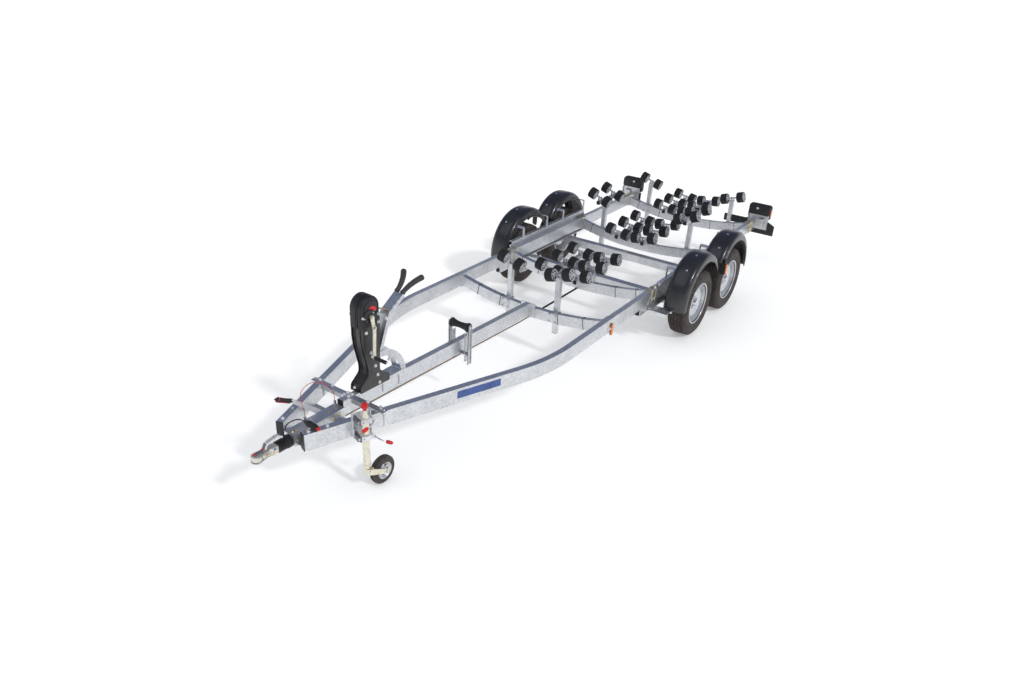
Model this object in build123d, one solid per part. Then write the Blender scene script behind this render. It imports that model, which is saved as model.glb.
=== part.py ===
"""Twin-axle boat trailer with roller cradles, a winch post and a jockey wheel, parked on its five wheels.

Millimetres. +Y points to the rear, +X to the left side, +Z up. The origin is on the floor, under the
middle of the trailer. Every left-hand piece has its mirror image on the right unless its table says not.
"""

import os
from math import atan2, cos, degrees, hypot, radians, sin, sqrt, tan

from build123d import *

# Overall layout
front_axle_from_nose = 4364
axle_spacing = 786
tyre_from_rail = 95
plate_gauge = 6
running_gap = 0.3
overrun = 50

# Side rails and the drawbar they form
rail_width = 50
rail_height = 120
rail_wall = 4
rail_top_z = 540
rail_outer_x = 800
drawbar_angle = 20.1
rail_bend_radius = 1600
rail_front_outer_x = 133
rail_front_from_nose = 314
rail_end_from_tail = 200
cap_thickness = 6

# Bowed cross beams: their front faces lie this far ahead of or behind the front axle
beam_width = 50
beam_height = 95
beam_wall = 4
beam_top_z = 430
beam_radius = 3300
beam_foot_reach = 30
beam_foot_drop = 6
beam_1_lead = 1330
beam_2_lead = 490
beam_3_trail = 905
beam_4_trail = 2100

# Keel beam from the front cross plate down to beam 1
keel_width = 50
keel_height = 115
keel_from_nose = 744
keel_rear_top_z = 470
keel_foot_width = 150

# Front cross plate and its position
cross_plate_from_nose = 816
cross_plate_width = 45
cross_plate_thickness = 9
cross_plate_overhang = 26
cross_plate_flange = 28

# Wheels
tyre_section_height = 124
tyre_width = 190
tread_width = 136
shoulder_width = 164
bead_radius = 196
rim_seat_depth = 12
rim_wall = 5
rim_flange_width = 168
shoulder_drop = 14
sidewall_drop = 58
disc_offset = 26
disc_thickness = 6
disc_crown = 16
disc_crown_radius = 128
disc_well_radius = 92
hub_cap_radius = 32
hub_cap_length = 34
hub_cap_taper = 6
drum_radius = 118
drum_width = 48
rim_slot_count = 12
rim_slot_width = 26
rim_slot_height = 14
rim_slot_radius = 152

# Axles: square tube ahead of the wheels, trailing arms and brake plates
axle_size = 80
axle_wall = 6
axle_top_z = 385
axle_lead = 150
axle_end_x = 790
arm_width = 44
arm_end_radius = 38
brake_plate_radius = 122
brake_plate_thickness = 10
brake_gap = 6
spindle_radius = 18
spindle_reach = 46

# Running-gear carriers outside the rails, with their mudguard straps
carrier_front_lead = 560
carrier_rear_trail = 330
carrier_height = 215
carrier_wall = 6
carrier_flange = 42
carrier_nose_height = 60
carrier_nose_length = 130
strap_width = 30
strap_thickness = 6
strap_angles = (-38, 34)
saddle_length = 70

# Mudguards
guard_radius = 430
guard_centre_z = 390
guard_width = 220
guard_skin = 5
guard_lip = 42
guard_corner = 30
guard_corner_low = 44
guard_low_angle = 94
guard_high_angle = 58

# Folded step plates ahead of the front wheels
step_outer_x = 980
step_depth = 128
step_lap = 27
step_skin = 4
step_flange = 32
step_hanger_lead = 185
step_hanger_length = 140

# Overrun housing, bellows and coupling head
coupling_z = 456
housing_rear_from_nose = 736
housing_length = 440
housing_width = 92
housing_height = 84
housing_wall = 6
housing_top_z = 504
draw_tube_radius = 25
bellows_radius = 38
bellows_waist_radius = 31
bellows_folds = 4
head_length = 186
head_cup_radius = 39
head_cup_height = 62
head_neck_width = 56
head_neck_height = 46
head_sleeve_radius = 30
head_sleeve_length = 60
front_plate_from_nose = 330
front_plate_length = 120
rear_plate_length = 76
bell_crank_length = 46
bell_crank_drop = 32
bell_crank_gauge = 10
ball_bore_radius = 25.2
ball_bore_depth = 26
ball_dome_height = 14
ball_dome_radius = 15
handle_width = 34
handle_gauge = 8
handle_from_nose = 62
handle_shoulder_from_nose = 96
handle_top_from_nose = 200
handle_end_from_nose = 226
handle_shoulder_z = 512
handle_top_z = 538
handle_end_z = 522
handle_bend_radius = 12

# Handbrake lever on the right of the housing
lever_pivot_from_nose = 628
lever_pivot_z = 470
lever_x = -82
lever_length = 300
lever_angle = 38
lever_width = 34
lever_gauge = 16
grip_length = 128
grip_radius = 15

# Jockey wheel, its tube, fork and the clamp on the left rail
jockey_x = 330
jockey_from_nose = 641
jockey_tube_radius = 24
jockey_tube_bottom_z = 232
jockey_tube_wall = 2.5
jockey_inner_top_z = 300
jockey_tube_top_z = 655
jockey_knob_radius = 19
jockey_trail = 140
jockey_wheel_radius = 103
jockey_wheel_width = 60
jockey_rim_radius = 62
jockey_rim_width = 52
jockey_arm_width = 42
jockey_arm_gauge = 12
jockey_hub_gap = 6
jockey_axle_radius = 10
jockey_collar_height = 26
jockey_collar_gap = 4
jockey_fork_bottom_z = 108
jockey_axle_gap = 0.4
jockey_tyre_corner = 16
clamp_plate_width = 130
clamp_plate_height = 178
clamp_ring_height = 34
clamp_ring_wall = 8
clamp_ring_gap = 0.5
clamp_low_ring_z = 430
clamp_high_ring_z = 556
clamp_block_width = 40
clamp_low_lever_x = 120
clamp_low_lever_y = 96
clamp_low_lever_z = 415
clamp_high_lever_x = 68
clamp_high_lever_y = -70
clamp_high_lever_z = 548
clamp_grip_length = 42
clamp_lever_radius = 7
clamp_grip_radius = 10

# Winch post on the keel beam: heights are above the floor
post_from_nose = 879
post_base_length = 278
post_head_length = 180
post_head_lead = 10
post_waist_lead = 98
post_waist_length = 92
post_waist_low_z = 650
post_waist_high_z = 740
post_flare_rise = 36
post_shoulder_z = 900
post_top_z = 1060
post_width = 100
post_skin = 5
post_base_gauge = 8
cover_radius = 107
cover_width = 118
cover_top_z = 1236
cover_groove = 8
cover_groove_depth = 10
cover_lead = 14
cover_boss_radius = 52
cover_boss_depth = 12
crank_pivot_z = 1093
crank_reach = 296
crank_from_nose = 982
crank_offset = 34
crank_gauge = 12
crank_bar_width = 26
crank_grip_radius = 14
crank_grip_length = 104
crank_shaft_radius = 11

# Bow-stop arm, its quadrant and its two horns
stop_foot_from_nose = 1040
stop_foot_z = 640
stop_pin_radius = 9
stop_bend_radius = 60
stop_arm_width = 80
stop_arm_gauge = 8
stop_arm_lip = 26
stop_knee_from_nose = 1192
stop_knee_z = 1032
stop_tip_from_nose = 1340
stop_tip_z = 1127
horn_radius = 17
horn_root_x = 26
horn_tip_x = 85
horn_reach = 172
horn_bend_share = 0.45
quadrant_from_nose = 1084
quadrant_radius = 262
quadrant_width = 46
saddle_from_nose = 1160
strap_web_width = 46
strap_web_gauge = 4
strap_web_start_z = 1105
strap_web_end_z = 1053
strap_web_end_from_nose = 1204
keel_saddle_length = 190
keel_saddle_width = 100
keel_saddle_rise = 30

# Keel roller and its uprights
keel_roller_from_nose = 2042
keel_roller_z = 618
keel_roller_length = 176
keel_roller_end_radius = 38
keel_roller_waist_radius = 25
keel_upright_width = 34
keel_upright_gauge = 6
keel_upright_bottom_z = 297
keel_upright_top_gap = 22
keel_bar_width = 44
keel_bar_height = 10
keel_plate_x = 58
keel_plate_width = 36
keel_plate_bottom_z = 310
keel_plate_top_z = 566
keel_roller_flat = 14
keel_roller_gap = 3
keel_axle_radius = 9
keel_axle_gap = 0.4

# Small rollers and the cradles that carry them
roller_radius = 60
roller_width = 75
roller_chamfer = 11
roller_taper = 45
roller_sides = 12
axle_rod_radius = 10
axle_rod_sides = 6
ladder_outer_x = 245
ladder_inner_x = 60
ladder_outer_z = 600
ladder_inner_z = 570
ladder_pitch = 295
ladder_bar_width = 36
ladder_bar_height = 40
ladder_bar_drop = 52
ladder_bar_end = 34
pair_neck_size = 22
pivot_ear_gap = 5
pivot_pin_radius = 8
pivot_pin_gap = 0.3
pivot_ear_gauge = 6
pivot_ear_width = 40

# Roller posts behind beams 1, 3 and 4: the pair's centre, half the distance between
# its rollers and its tilt
post_size = 44
post_stub = 115
post_wall = 4
post_head_drop = 26
bow_pair_x = 252
bow_pair_z = 780
bow_pair_half = 90
bow_pair_angle = 15
stern_pair_x = 520
stern_pair_z = 755
stern_pair_half = 95
stern_pair_angle = 17
side_pair_x = 512
side_pair_z = 842
side_pair_half = 92
side_pair_angle = 20
side_pitch = 300

# Rear lamps on the rail ends
lamp_inner_x = 690
lamp_width = 262
lamp_height = 178
lamp_bottom_z = 536
lamp_corner = 34
lamp_depth = 64
flap_outer_x = 1026
flap_height = 165
flap_bottom_z = 375
flap_cut = 100
flap_thickness = 8
plate_bar_inner_x = 420
plate_bar_height = 84
plate_bar_z = 446
lamp_bracket_gauge = 6
lamp_bracket_bottom_z = 430
lamp_bracket_top_z = 640
lamp_bracket_inner_x = 712
lamp_bracket_outer_x = 944

# Side markers, on the rails and hung from the rear mudguards
marker_height = 112
marker_width = 34
marker_thickness = 18
marker_bottom_z = 386
marker_lead = 1290
guard_marker_lap = 6
hanger_lead = 14
hanger_rise = 50
hanger_gauge = 20
hanger_strip_width = 25
hanger_strip_gauge = 6

# Brake rod under the keel beam
rod_radius = 6
rod_drop = 21
rod_level_z = 322
rod_knee_lead = 120

# Breakaway cable: a stiff loop between two lugs on the housing, and its route as points
# (x, distance from the nose, z)
cable_radius = 2.2
cable_lug_size = 14
cable_route = [
    (-36, 463, 530), (-36, 463, 574), (-36, 450, 620), (-37, 439, 666), (-39, 442, 708),
    (-41, 468, 738), (-42, 510, 751), (-42, 558, 748), (-41, 604, 729), (-39, 645, 697),
    (-38, 685, 656), (-36, 711, 613), (-36, 725, 570), (-36, 725, 530),
]

# Lighting plug, lying on the left rail, its lead's route as (x, distance from the nose, z)
# points and the gland where the lead goes in
plug_radius = 27
plug_neck_radius = 9
plug_length = 120
plug_neck_length = 34
plug_cap_radius = 17
plug_cap_length = 16
lead_radius = 4
gland_radius = 8
lead_route = [
    (45, 392, 567.3), (12, 392, 567.3), (-18, 376, 563), (-40, 348, 552), (-58, 324, 529),
    (-68, 319, 497), (-70, 340, 466), (-70, 340, 432),
]
cord_bend_share = 0.45

# Places worked out from the sizes above
overall_length = front_axle_from_nose + beam_4_trail + beam_width / 2 + ladder_pitch + roller_radius
nose_y = -overall_length / 2
tail_y = overall_length / 2
front_axle_y = nose_y + front_axle_from_nose
axle_places = {"front": front_axle_y, "rear": front_axle_y + axle_spacing}
beam_places = {
    "1": front_axle_y - beam_1_lead,
    "2": front_axle_y - beam_2_lead,
    "3": front_axle_y + beam_3_trail,
    "4": front_axle_y + beam_4_trail,
}
rail_inner_x = rail_outer_x - rail_width
rail_centre_z = rail_top_z - rail_height / 2
rail_front_y = nose_y + rail_front_from_nose
rail_rear_y = tail_y - rail_end_from_tail
wheel_x = rail_outer_x + tyre_from_rail + tyre_width / 2
rim_radius = bead_radius - rim_seat_depth
tyre_radius = bead_radius + tyre_section_height
drum_inner_x = wheel_x + disc_offset - drum_width
spindle_end_x = drum_inner_x + spindle_reach
jockey_inner_radius = jockey_tube_radius - jockey_tube_wall - running_gap
housing_rear_y = nose_y + housing_rear_from_nose
housing_front_y = housing_rear_y - housing_length
keel_front_y = nose_y + keel_from_nose
keel_rear_y = beam_places["1"]
keel_slope = (rail_top_z - keel_rear_top_z) / (keel_rear_y - keel_front_y)
drawbar_run = tan(radians(drawbar_angle))
cross_plate_y = nose_y + cross_plate_from_nose
jockey_y = nose_y + jockey_from_nose
up = Vector(0, 0, 1)
parts = {}


def block(x, y, z):
    """A box between a low and a high value along each axis."""
    size = [span[1] - span[0] for span in (x, y, z)]
    middle = [(span[0] + span[1]) / 2 for span in (x, y, z)]
    return Pos(*middle) * Box(*size)


def box_tube(path, width, height, wall):
    """A rectangular tube along a path that is nowhere vertical."""
    start = Plane(path @ 0, x_dir=up.cross(path % 0), z_dir=path % 0)
    skin = sweep(start * Rectangle(width, height), path)
    return skin - sweep(start * Rectangle(width - 2 * wall, height - 2 * wall), path)


def rod(start, end, radius):
    """A round bar from one point to another."""
    way = Vector(*end) - Vector(*start)
    return extrude(Plane(start, z_dir=way) * Circle(radius), way.length)


def side_plate(outline, x, thickness):
    """A plate in the Y-Z plane from an outline of (y, z) points, with x as its low face."""
    face = make_face(Polyline(*[(0, y, z) for y, z in outline], close=True))
    return Pos(x, 0, 0) * extrude(face, thickness, dir=(1, 0, 0))


def right(piece):
    """The mirror image on the right-hand side."""
    return mirror(piece, about=Plane.YZ)


def both(piece):
    """A piece and its mirror image, as separate solids of one node."""
    return Compound(children=[piece, right(piece)])


def rail_face_x(y):
    """Outer face of the drawbar leg at a given y."""
    return rail_front_outer_x + drawbar_run * (y - rail_front_y)


def beam_top(x):
    """Height of a cross beam's top face at a distance x from the centre line."""
    radius = beam_radius - beam_height / 2
    return beam_top_z + radius - sqrt(radius**2 - x**2)


def beam_bottom(x):
    """Height of a cross beam's bottom face at a distance x from the centre line."""
    radius = beam_radius + beam_height / 2
    return beam_top_z - beam_height + radius - sqrt(radius**2 - x**2)


def keel_top(y):
    """Height of the keel beam's top face at a given y."""
    return rail_top_z - keel_slope * (y - keel_front_y)


# Side rails
def make_rail():
    side = rail_width / 2 / cos(radians(drawbar_angle))
    front_x, rear_x = rail_front_outer_x - side, rail_outer_x - rail_width / 2
    corner_y = rail_front_y + (rear_x - front_x) / drawbar_run
    path = FilletPolyline(
        (front_x, rail_front_y, rail_centre_z),
        (rear_x, corner_y, rail_centre_z),
        (rear_x, rail_rear_y, rail_centre_z),
        radius=rail_bend_radius,
    )
    return path, box_tube(path, rail_width, rail_height, rail_wall)


rail_path, parts["side_rail_left"] = make_rail()
parts["side_rail_right"] = right(parts["side_rail_left"])


# Black caps on the open front ends of the rails and the keel beam
def make_caps():
    tangent = rail_path % 0
    face = Plane(rail_path @ 0, x_dir=up.cross(tangent), z_dir=-tangent)
    rail_cap = extrude(face * Rectangle(rail_width, rail_height), cap_thickness)
    keel_cap = block(
        (-keel_width / 2, keel_width / 2),
        (keel_front_y - cap_thickness, keel_front_y),
        (rail_top_z - keel_height, rail_top_z),
    )
    return Compound(children=[rail_cap, right(rail_cap), keel_cap])


parts["beam_end_caps"] = make_caps()


# Bowed cross beams with a foot plate at each rail
def make_beam(front_y):
    middle_z = beam_top_z - beam_height / 2
    end_x = rail_inner_x - plate_gauge
    reach_x = rail_inner_x + overrun
    rise = beam_radius - sqrt(beam_radius**2 - reach_x**2)
    middle_y = front_y + beam_width / 2
    tip_z = middle_z + rise
    path = ThreePointArc((-reach_x, middle_y, tip_z), (0, middle_y, middle_z), (reach_x, middle_y, tip_z))
    beam = box_tube(path, beam_width, beam_height, beam_wall)
    span = (front_y, front_y + beam_width)
    beam = beam & block((-end_x, end_x), span, (0, rail_top_z))
    foot = block(
        (end_x, rail_inner_x),
        (front_y - beam_foot_reach, front_y + beam_width + beam_foot_reach),
        (beam_bottom(end_x) - beam_foot_drop, rail_top_z),
    )
    return beam + foot + right(foot)


for number, place in beam_places.items():
    parts[f"cross_beam_{number}"] = make_beam(place)


# Keel beam with its foot on beam 1
def keel_outline(front_y, rear_y, inset):
    low = keel_height - inset
    return [
        (front_y, keel_top(front_y) - inset), (rear_y, keel_top(rear_y) - inset),
        (rear_y, keel_top(rear_y) - low), (front_y, keel_top(front_y) - low),
    ]


def make_keel():
    rear_y, half = keel_rear_y - plate_gauge, keel_width / 2
    beam = side_plate(keel_outline(keel_front_y, rear_y, 0), -half, keel_width)
    hollow = keel_outline(keel_front_y - overrun, rear_y + overrun, rail_wall)
    beam -= side_plate(hollow, rail_wall - half, keel_width - 2 * rail_wall)
    foot = block(
        (-keel_foot_width / 2, keel_foot_width / 2),
        (rear_y, keel_rear_y),
        (beam_top_z - beam_height, keel_top(rear_y)),
    )
    return beam + foot


parts["keel_beam"] = make_keel()


# Front cross plate: an angle laid over both rails
def make_cross_plate():
    half_x = rail_face_x(cross_plate_y) + cross_plate_overhang
    front, back = cross_plate_y - cross_plate_width / 2, cross_plate_y + cross_plate_width / 2
    flat = block((-half_x, half_x), (front, back), (rail_top_z, rail_top_z + cross_plate_thickness))
    inner_x = rail_face_x(front) - rail_width / cos(radians(drawbar_angle)) - plate_gauge
    lip = block((-inner_x, inner_x), (front, front + plate_gauge),
                (rail_top_z - cross_plate_flange, rail_top_z))
    keel_slot = block(
        (-keel_width, keel_width), (front - overrun, back), (rail_top_z - overrun, rail_top_z)
    )
    return flat + (lip - keel_slot)


parts["front_cross_plate"] = make_cross_plate()


# Axles: square tube, trailing arms, spindles and brake plates
def make_axle(wheel_y):
    middle_y, middle_z = wheel_y - axle_lead, axle_top_z - axle_size / 2
    path = Line((-axle_end_x, middle_y, middle_z), (axle_end_x, middle_y, middle_z))
    tube = box_tube(path, axle_size, axle_size, axle_wall)
    stub = (wheel_y, tyre_radius)
    plate_outer_x = drum_inner_x - brake_gap
    plate_inner_x = plate_outer_x - brake_plate_thickness
    side = Plane(origin=(axle_end_x, 0, 0), x_dir=(0, 1, 0), z_dir=(1, 0, 0))
    arm_circles = [Pos(*spot) * Circle(arm_end_radius) for spot in ((middle_y, middle_z), stub)]
    arm_face = make_hull(arm_circles[0].edges() + arm_circles[1].edges())
    arm = extrude(side * arm_face, arm_width)
    brake_plate = rod((plate_inner_x, *stub), (plate_outer_x, *stub), brake_plate_radius)
    spindle = rod((axle_end_x + arm_width, *stub), (spindle_end_x, *stub), spindle_radius)
    end = arm + spindle + brake_plate
    return tube + end + right(end)


for name, place in axle_places.items():
    parts[f"axle_{name}"] = make_axle(place)


# Running-gear carriers: a channel against each rail, with straps up to the mudguards
guard_foot_radius = guard_radius - guard_lip
strap_radius = guard_foot_radius - 2 * running_gap


def strap_plane(wheel_y, angle):
    """A plane across the trailer at the mudguard's centre, with its y axis along a radius."""
    turn = radians(angle)
    centre = (rail_outer_x, wheel_y, guard_centre_z)
    return Plane(centre, x_dir=(0, cos(turn), -sin(turn)), z_dir=(1, 0, 0))


def make_strap(wheel_y, angle, base_z):
    turn = radians(angle)
    plane = strap_plane(wheel_y, angle)
    reach = wheel_x + guard_width / 2 - rail_outer_x
    bar = plane * Pos(0, strap_radius - strap_thickness / 2) * Rectangle(strap_width, strap_thickness)
    crown = guard_radius - guard_skin - running_gap
    saddle_height = crown - strap_radius + strap_thickness
    saddle = plane * Pos(0, crown - saddle_height / 2) * Rectangle(strap_width, saddle_height)
    saddle_start = wheel_x - rail_outer_x - saddle_length / 2
    y = wheel_y + (strap_radius - strap_thickness) * sin(turn)
    z = guard_centre_z + (strap_radius - strap_thickness) * cos(turn)
    upright = block(
        (rail_outer_x, rail_outer_x + strap_thickness),
        (y - strap_width / 2, y + strap_width / 2),
        (base_z, z),
    )
    return extrude(bar, reach) + Pos(saddle_start, 0, 0) * extrude(saddle, saddle_length) + upright


def make_carrier():
    span = (axle_places["front"] - carrier_front_lead, axle_places["rear"] + carrier_rear_trail)
    outer_x = rail_outer_x + carrier_flange
    top_z = axle_top_z + carrier_height
    carrier = block((rail_outer_x, rail_outer_x + carrier_wall), span, (axle_top_z, top_z))
    carrier += block((rail_inner_x, outer_x), span, (axle_top_z, axle_top_z + carrier_wall))
    carrier += block((rail_outer_x, outer_x), span, (top_z - carrier_wall, top_z))
    low_z = axle_top_z + carrier_nose_height
    slope = (top_z - low_z) / carrier_nose_length
    for end_y, side in ((span[0], 1), (span[1], -1)):
        outside_y, high_z = end_y - side * overrun, top_z + overrun
        corner = [(outside_y, low_z - overrun * slope), (outside_y, high_z),
                  (end_y + side * (carrier_nose_length + overrun / slope), high_z)]
        carrier -= side_plate(corner, rail_outer_x - overrun, carrier_flange + 2 * overrun)
    for wheel_y in axle_places.values():
        for angle in strap_angles:
            carrier += make_strap(wheel_y, angle, low_z)
    return carrier


parts["carrier_left"] = make_carrier()
parts["carrier_right"] = right(parts["carrier_left"])


# Mudguards: a lipped channel turned about an axis across the trailer
def guard_section(half_width, radius, corner):
    """The channel's outline with its two shoulders cut off, as a face in (distance along X, radius)."""
    low, flat = guard_foot_radius, half_width - guard_corner_low
    return make_face(Polyline(
        (-half_width, low), (-half_width, radius - corner), (-flat, radius), (flat, radius),
        (half_width, radius - corner), (half_width, low), close=True,
    ))


def make_guard(wheel_y, front_angle, rear_angle):
    outer = guard_section(guard_width / 2, guard_radius, guard_corner)
    inner = guard_section(guard_width / 2 - guard_skin, guard_radius - guard_skin, guard_corner)
    centre = (wheel_x, wheel_y, guard_centre_z)
    wall = Plane(centre, x_dir=(1, 0, 0), z_dir=(0, -1, 0)) * (outer - inner)
    axis = Axis(centre, (1, 0, 0))
    return revolve(wall, axis, front_angle + rear_angle).rotate(axis, -rear_angle)


guards = [
    make_guard(axle_places["front"], guard_low_angle, guard_high_angle),
    make_guard(axle_places["rear"], guard_high_angle, guard_low_angle),
]
parts["mudguards_left"] = Compound(children=guards)
parts["mudguards_right"] = Compound(children=[right(guard) for guard in guards])


# Step plates: a folded tray under the mudguard's toe, hung below the rail
def make_step():
    toe_y = front_axle_y - guard_radius * sin(radians(guard_low_angle))
    front_y = toe_y + step_lap - step_depth
    hang_y = front_y - step_hanger_lead
    span = (front_y, front_y + step_depth)
    top_z = guard_centre_z + guard_radius * cos(radians(guard_low_angle)) - running_gap
    skin = (top_z - step_skin, top_z)
    fold = (top_z - step_flange, top_z)
    step = block((rail_inner_x, step_outer_x), span, skin)
    step += block((rail_inner_x, rail_outer_x), (hang_y, span[1]), skin)
    step += block((rail_outer_x, step_outer_x), (front_y, front_y + step_skin), fold)
    step += block((rail_outer_x, step_outer_x), (span[1] - step_skin, span[1]), fold)
    for low_x in (rail_inner_x, rail_outer_x - step_skin):
        cheek = block(
            (low_x, low_x + step_skin),
            (hang_y, hang_y + step_hanger_length),
            (top_z - step_skin, rail_top_z - rail_height),
        )
        step += cheek
    return step


parts["step_plates"] = both(make_step())


# Road wheels: tyre and slotted steel rim with its brake drum and hub cap
def turned(face, centre):
    """Turn a face drawn in (distance along X, radius) once round an axis across the trailer."""
    plane = Plane(centre, x_dir=(1, 0, 0), z_dir=(0, -1, 0))
    return revolve(plane * face, Axis(centre, (1, 0, 0)), 360)


def tyre_face():
    half, bead_x = tyre_width / 2, rim_flange_width / 2 - rim_wall
    tread_x, shoulder_x = tread_width / 2, shoulder_width / 2
    outer = [
        (bead_x, rim_radius), (bead_x, bead_radius), (half, tyre_radius - sidewall_drop),
        (shoulder_x, tyre_radius - shoulder_drop), (tread_x, tyre_radius),
    ]
    return make_face(Polyline(*outer, *[(-x, radius) for x, radius in outer[::-1]], close=True))


def rim_face():
    """Barrel, disc, drum and hub cap in one outline, from the spindle's bore round to the hub cap."""
    half, seat = rim_flange_width / 2, rim_radius
    inside = seat - rim_wall
    back, front = disc_offset, disc_offset + disc_thickness
    bore = spindle_radius + running_gap
    bore_end = spindle_end_x + running_gap - wheel_x
    drum_back = back - drum_width
    return make_face(Polyline(
        (drum_back, bore), (drum_back, drum_radius), (back, drum_radius), (back, inside), (-half, inside),
        (-half, bead_radius), (rim_wall - half, bead_radius), (rim_wall - half, seat),
        (half - rim_wall, seat), (half - rim_wall, bead_radius), (half, bead_radius), (half, inside),
        (front, inside), (front + disc_crown, disc_crown_radius), (front, disc_well_radius),
        (front, hub_cap_radius), (front + hub_cap_length, hub_cap_radius - hub_cap_taper),
        (front + hub_cap_length, 0), (bore_end, 0), (bore_end, bore), close=True,
    ))


def make_rim(wheel_y):
    rim = turned(rim_face(), (wheel_x, wheel_y, tyre_radius))
    slot = block(
        (disc_offset - overrun, disc_offset + disc_crown + overrun),
        (-rim_slot_width / 2, rim_slot_width / 2),
        (rim_slot_radius - rim_slot_height / 2, rim_slot_radius + rim_slot_height / 2),
    )
    step, centre = 360 / rim_slot_count, Pos(wheel_x, wheel_y, tyre_radius)
    return rim - [centre * Rot(i * step, 0, 0) * slot for i in range(rim_slot_count)]


for name, wheel_y in axle_places.items():
    parts[f"tyre_{name}_left"] = turned(tyre_face(), (wheel_x, wheel_y, tyre_radius))
    parts[f"rim_{name}_left"] = make_rim(wheel_y)
    for kind in ("tyre", "rim"):
        parts[f"{kind}_{name}_right"] = right(parts[f"{kind}_{name}_left"])


# Overrun housing: an open trough round the draw tube, on two plates under the rails
def drawbar_plate(front, back):
    """A plate under both rails, between two values of y."""
    corners = [(rail_face_x(y) * side, y) for y, side in ((front, -1), (front, 1), (back, 1), (back, -1))]
    return Pos(0, 0, rail_top_z - rail_height - plate_gauge) * extrude(
        make_face(Polyline(*corners, close=True)), plate_gauge
    )


def make_housing():
    front_y, rear_y = housing_front_y, housing_rear_y
    half, low_z = housing_width / 2, housing_top_z - housing_height
    shell = block((-half, half), (front_y, rear_y), (low_z, housing_top_z))
    inner = half - housing_wall
    walls_y = (front_y + housing_wall, rear_y - housing_wall)
    shell -= block((-inner, inner), walls_y, (low_z - housing_wall, housing_top_z - housing_wall))
    draw_end = (0, rear_y - housing_wall / 2, coupling_z)
    draw_tube = rod((0, nose_y + head_length, coupling_z), draw_end, draw_tube_radius)
    plate_y = nose_y + front_plate_from_nose
    front_plate = drawbar_plate(plate_y, plate_y + front_plate_length)
    rear_plate = drawbar_plate(rear_y - rear_plate_length, rear_y)
    crank_top = rail_top_z - rail_height - plate_gauge
    bell_crank = block(
        (-bell_crank_gauge / 2, bell_crank_gauge / 2),
        (rear_y - bell_crank_length, rear_y),
        (crank_top - bell_crank_drop, crank_top),
    )
    return shell + draw_tube + front_plate + rear_plate + bell_crank


parts["overrun_housing"] = make_housing()


# Bellows round the draw tube, turned about it
def make_bellows():
    start, end = nose_y + head_length, housing_front_y
    fold = (end - start) / bellows_folds
    points = []
    for i in range(bellows_folds):
        points.append((start + i * fold, bellows_waist_radius))
        points.append((start + (i + 0.5) * fold, bellows_radius))
    points.append((end, bellows_waist_radius))
    bore = draw_tube_radius + running_gap
    points += [(end, bore), (start, bore)]
    outline = Polyline(*[(0, y, coupling_z + radius) for y, radius in points], close=True)
    return revolve(make_face(outline), Axis((0, 0, coupling_z), (0, 1, 0)), 360)


parts["bellows"] = make_bellows()


# Coupling head: a cup over the ball, a neck and a sleeve round the draw tube
def make_head():
    cup_y = nose_y + head_cup_radius
    low_z = coupling_z - head_cup_height / 2
    rear_y = nose_y + head_length
    cup = Pos(0, cup_y, coupling_z) * Cylinder(head_cup_radius, head_cup_height)
    neck_rear = rear_y - head_sleeve_length
    cup_circle = Pos(0, cup_y) * Circle(head_cup_radius)
    neck_end = Pos(0, neck_rear - head_neck_height / 2) * Rectangle(head_neck_width, head_neck_height)
    plan = make_hull(cup_circle.edges() + neck_end.edges())
    neck = Pos(0, 0, coupling_z - head_neck_height / 2) * extrude(plan, head_neck_height)
    sleeve_y = neck_rear - head_neck_height / 2
    sleeve = rod((0, sleeve_y, coupling_z), (0, rear_y, coupling_z), head_sleeve_radius)
    dome_z = low_z + ball_bore_depth + ball_dome_height / 2
    dome = Pos(0, cup_y, dome_z) * Cone(ball_bore_radius, ball_dome_radius, ball_dome_height)
    bore = rod((0, cup_y, low_z - overrun), (0, cup_y, low_z + ball_bore_depth), ball_bore_radius)
    return cup + neck + sleeve - dome - bore


parts["coupling_head"] = make_head()


# Arched lifting handle over the coupling head
def strip(path, width, gauge):
    """A flat strip of a given width along X, bent along a path in the Y-Z plane."""
    start = Plane(path @ 0, x_dir=(1, 0, 0), z_dir=path % 0)
    return sweep(start * Rectangle(width, gauge), path)


def make_handle():
    foot_z = coupling_z + head_cup_height / 2 + handle_gauge / 2
    path = FilletPolyline(
        (0, nose_y + handle_from_nose - head_cup_radius, foot_z),
        (0, nose_y + handle_from_nose, foot_z),
        (0, nose_y + handle_shoulder_from_nose, handle_shoulder_z),
        (0, nose_y + handle_top_from_nose, handle_top_z),
        (0, nose_y + handle_end_from_nose, handle_end_z),
        radius=handle_bend_radius,
    )
    return strip(path, handle_width, handle_gauge)


parts["coupling_handle"] = make_handle()


# Handbrake lever with its grip, pinned to the housing's right side
def make_lever():
    pivot = Vector(lever_x, nose_y + lever_pivot_from_nose, lever_pivot_z)
    turn = radians(lever_angle)
    way = Vector(0, -cos(turn), sin(turn))
    plane = Plane(pivot, x_dir=(1, 0, 0), z_dir=way)
    bar = extrude(plane * Rectangle(lever_gauge, lever_width), lever_length)
    end = pivot + way * lever_length
    grip = extrude(Plane(end, z_dir=way) * Circle(grip_radius), grip_length)
    half = lever_gauge / 2
    centre = (pivot.Y, pivot.Z)
    boss = rod((lever_x - half, *centre), (lever_x + half, *centre), lever_width / 2 + half)
    pin = rod((lever_x, *centre), (-housing_width / 2, *centre), half)
    return bar + grip + boss + pin


parts["handbrake_lever"] = make_lever()


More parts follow.
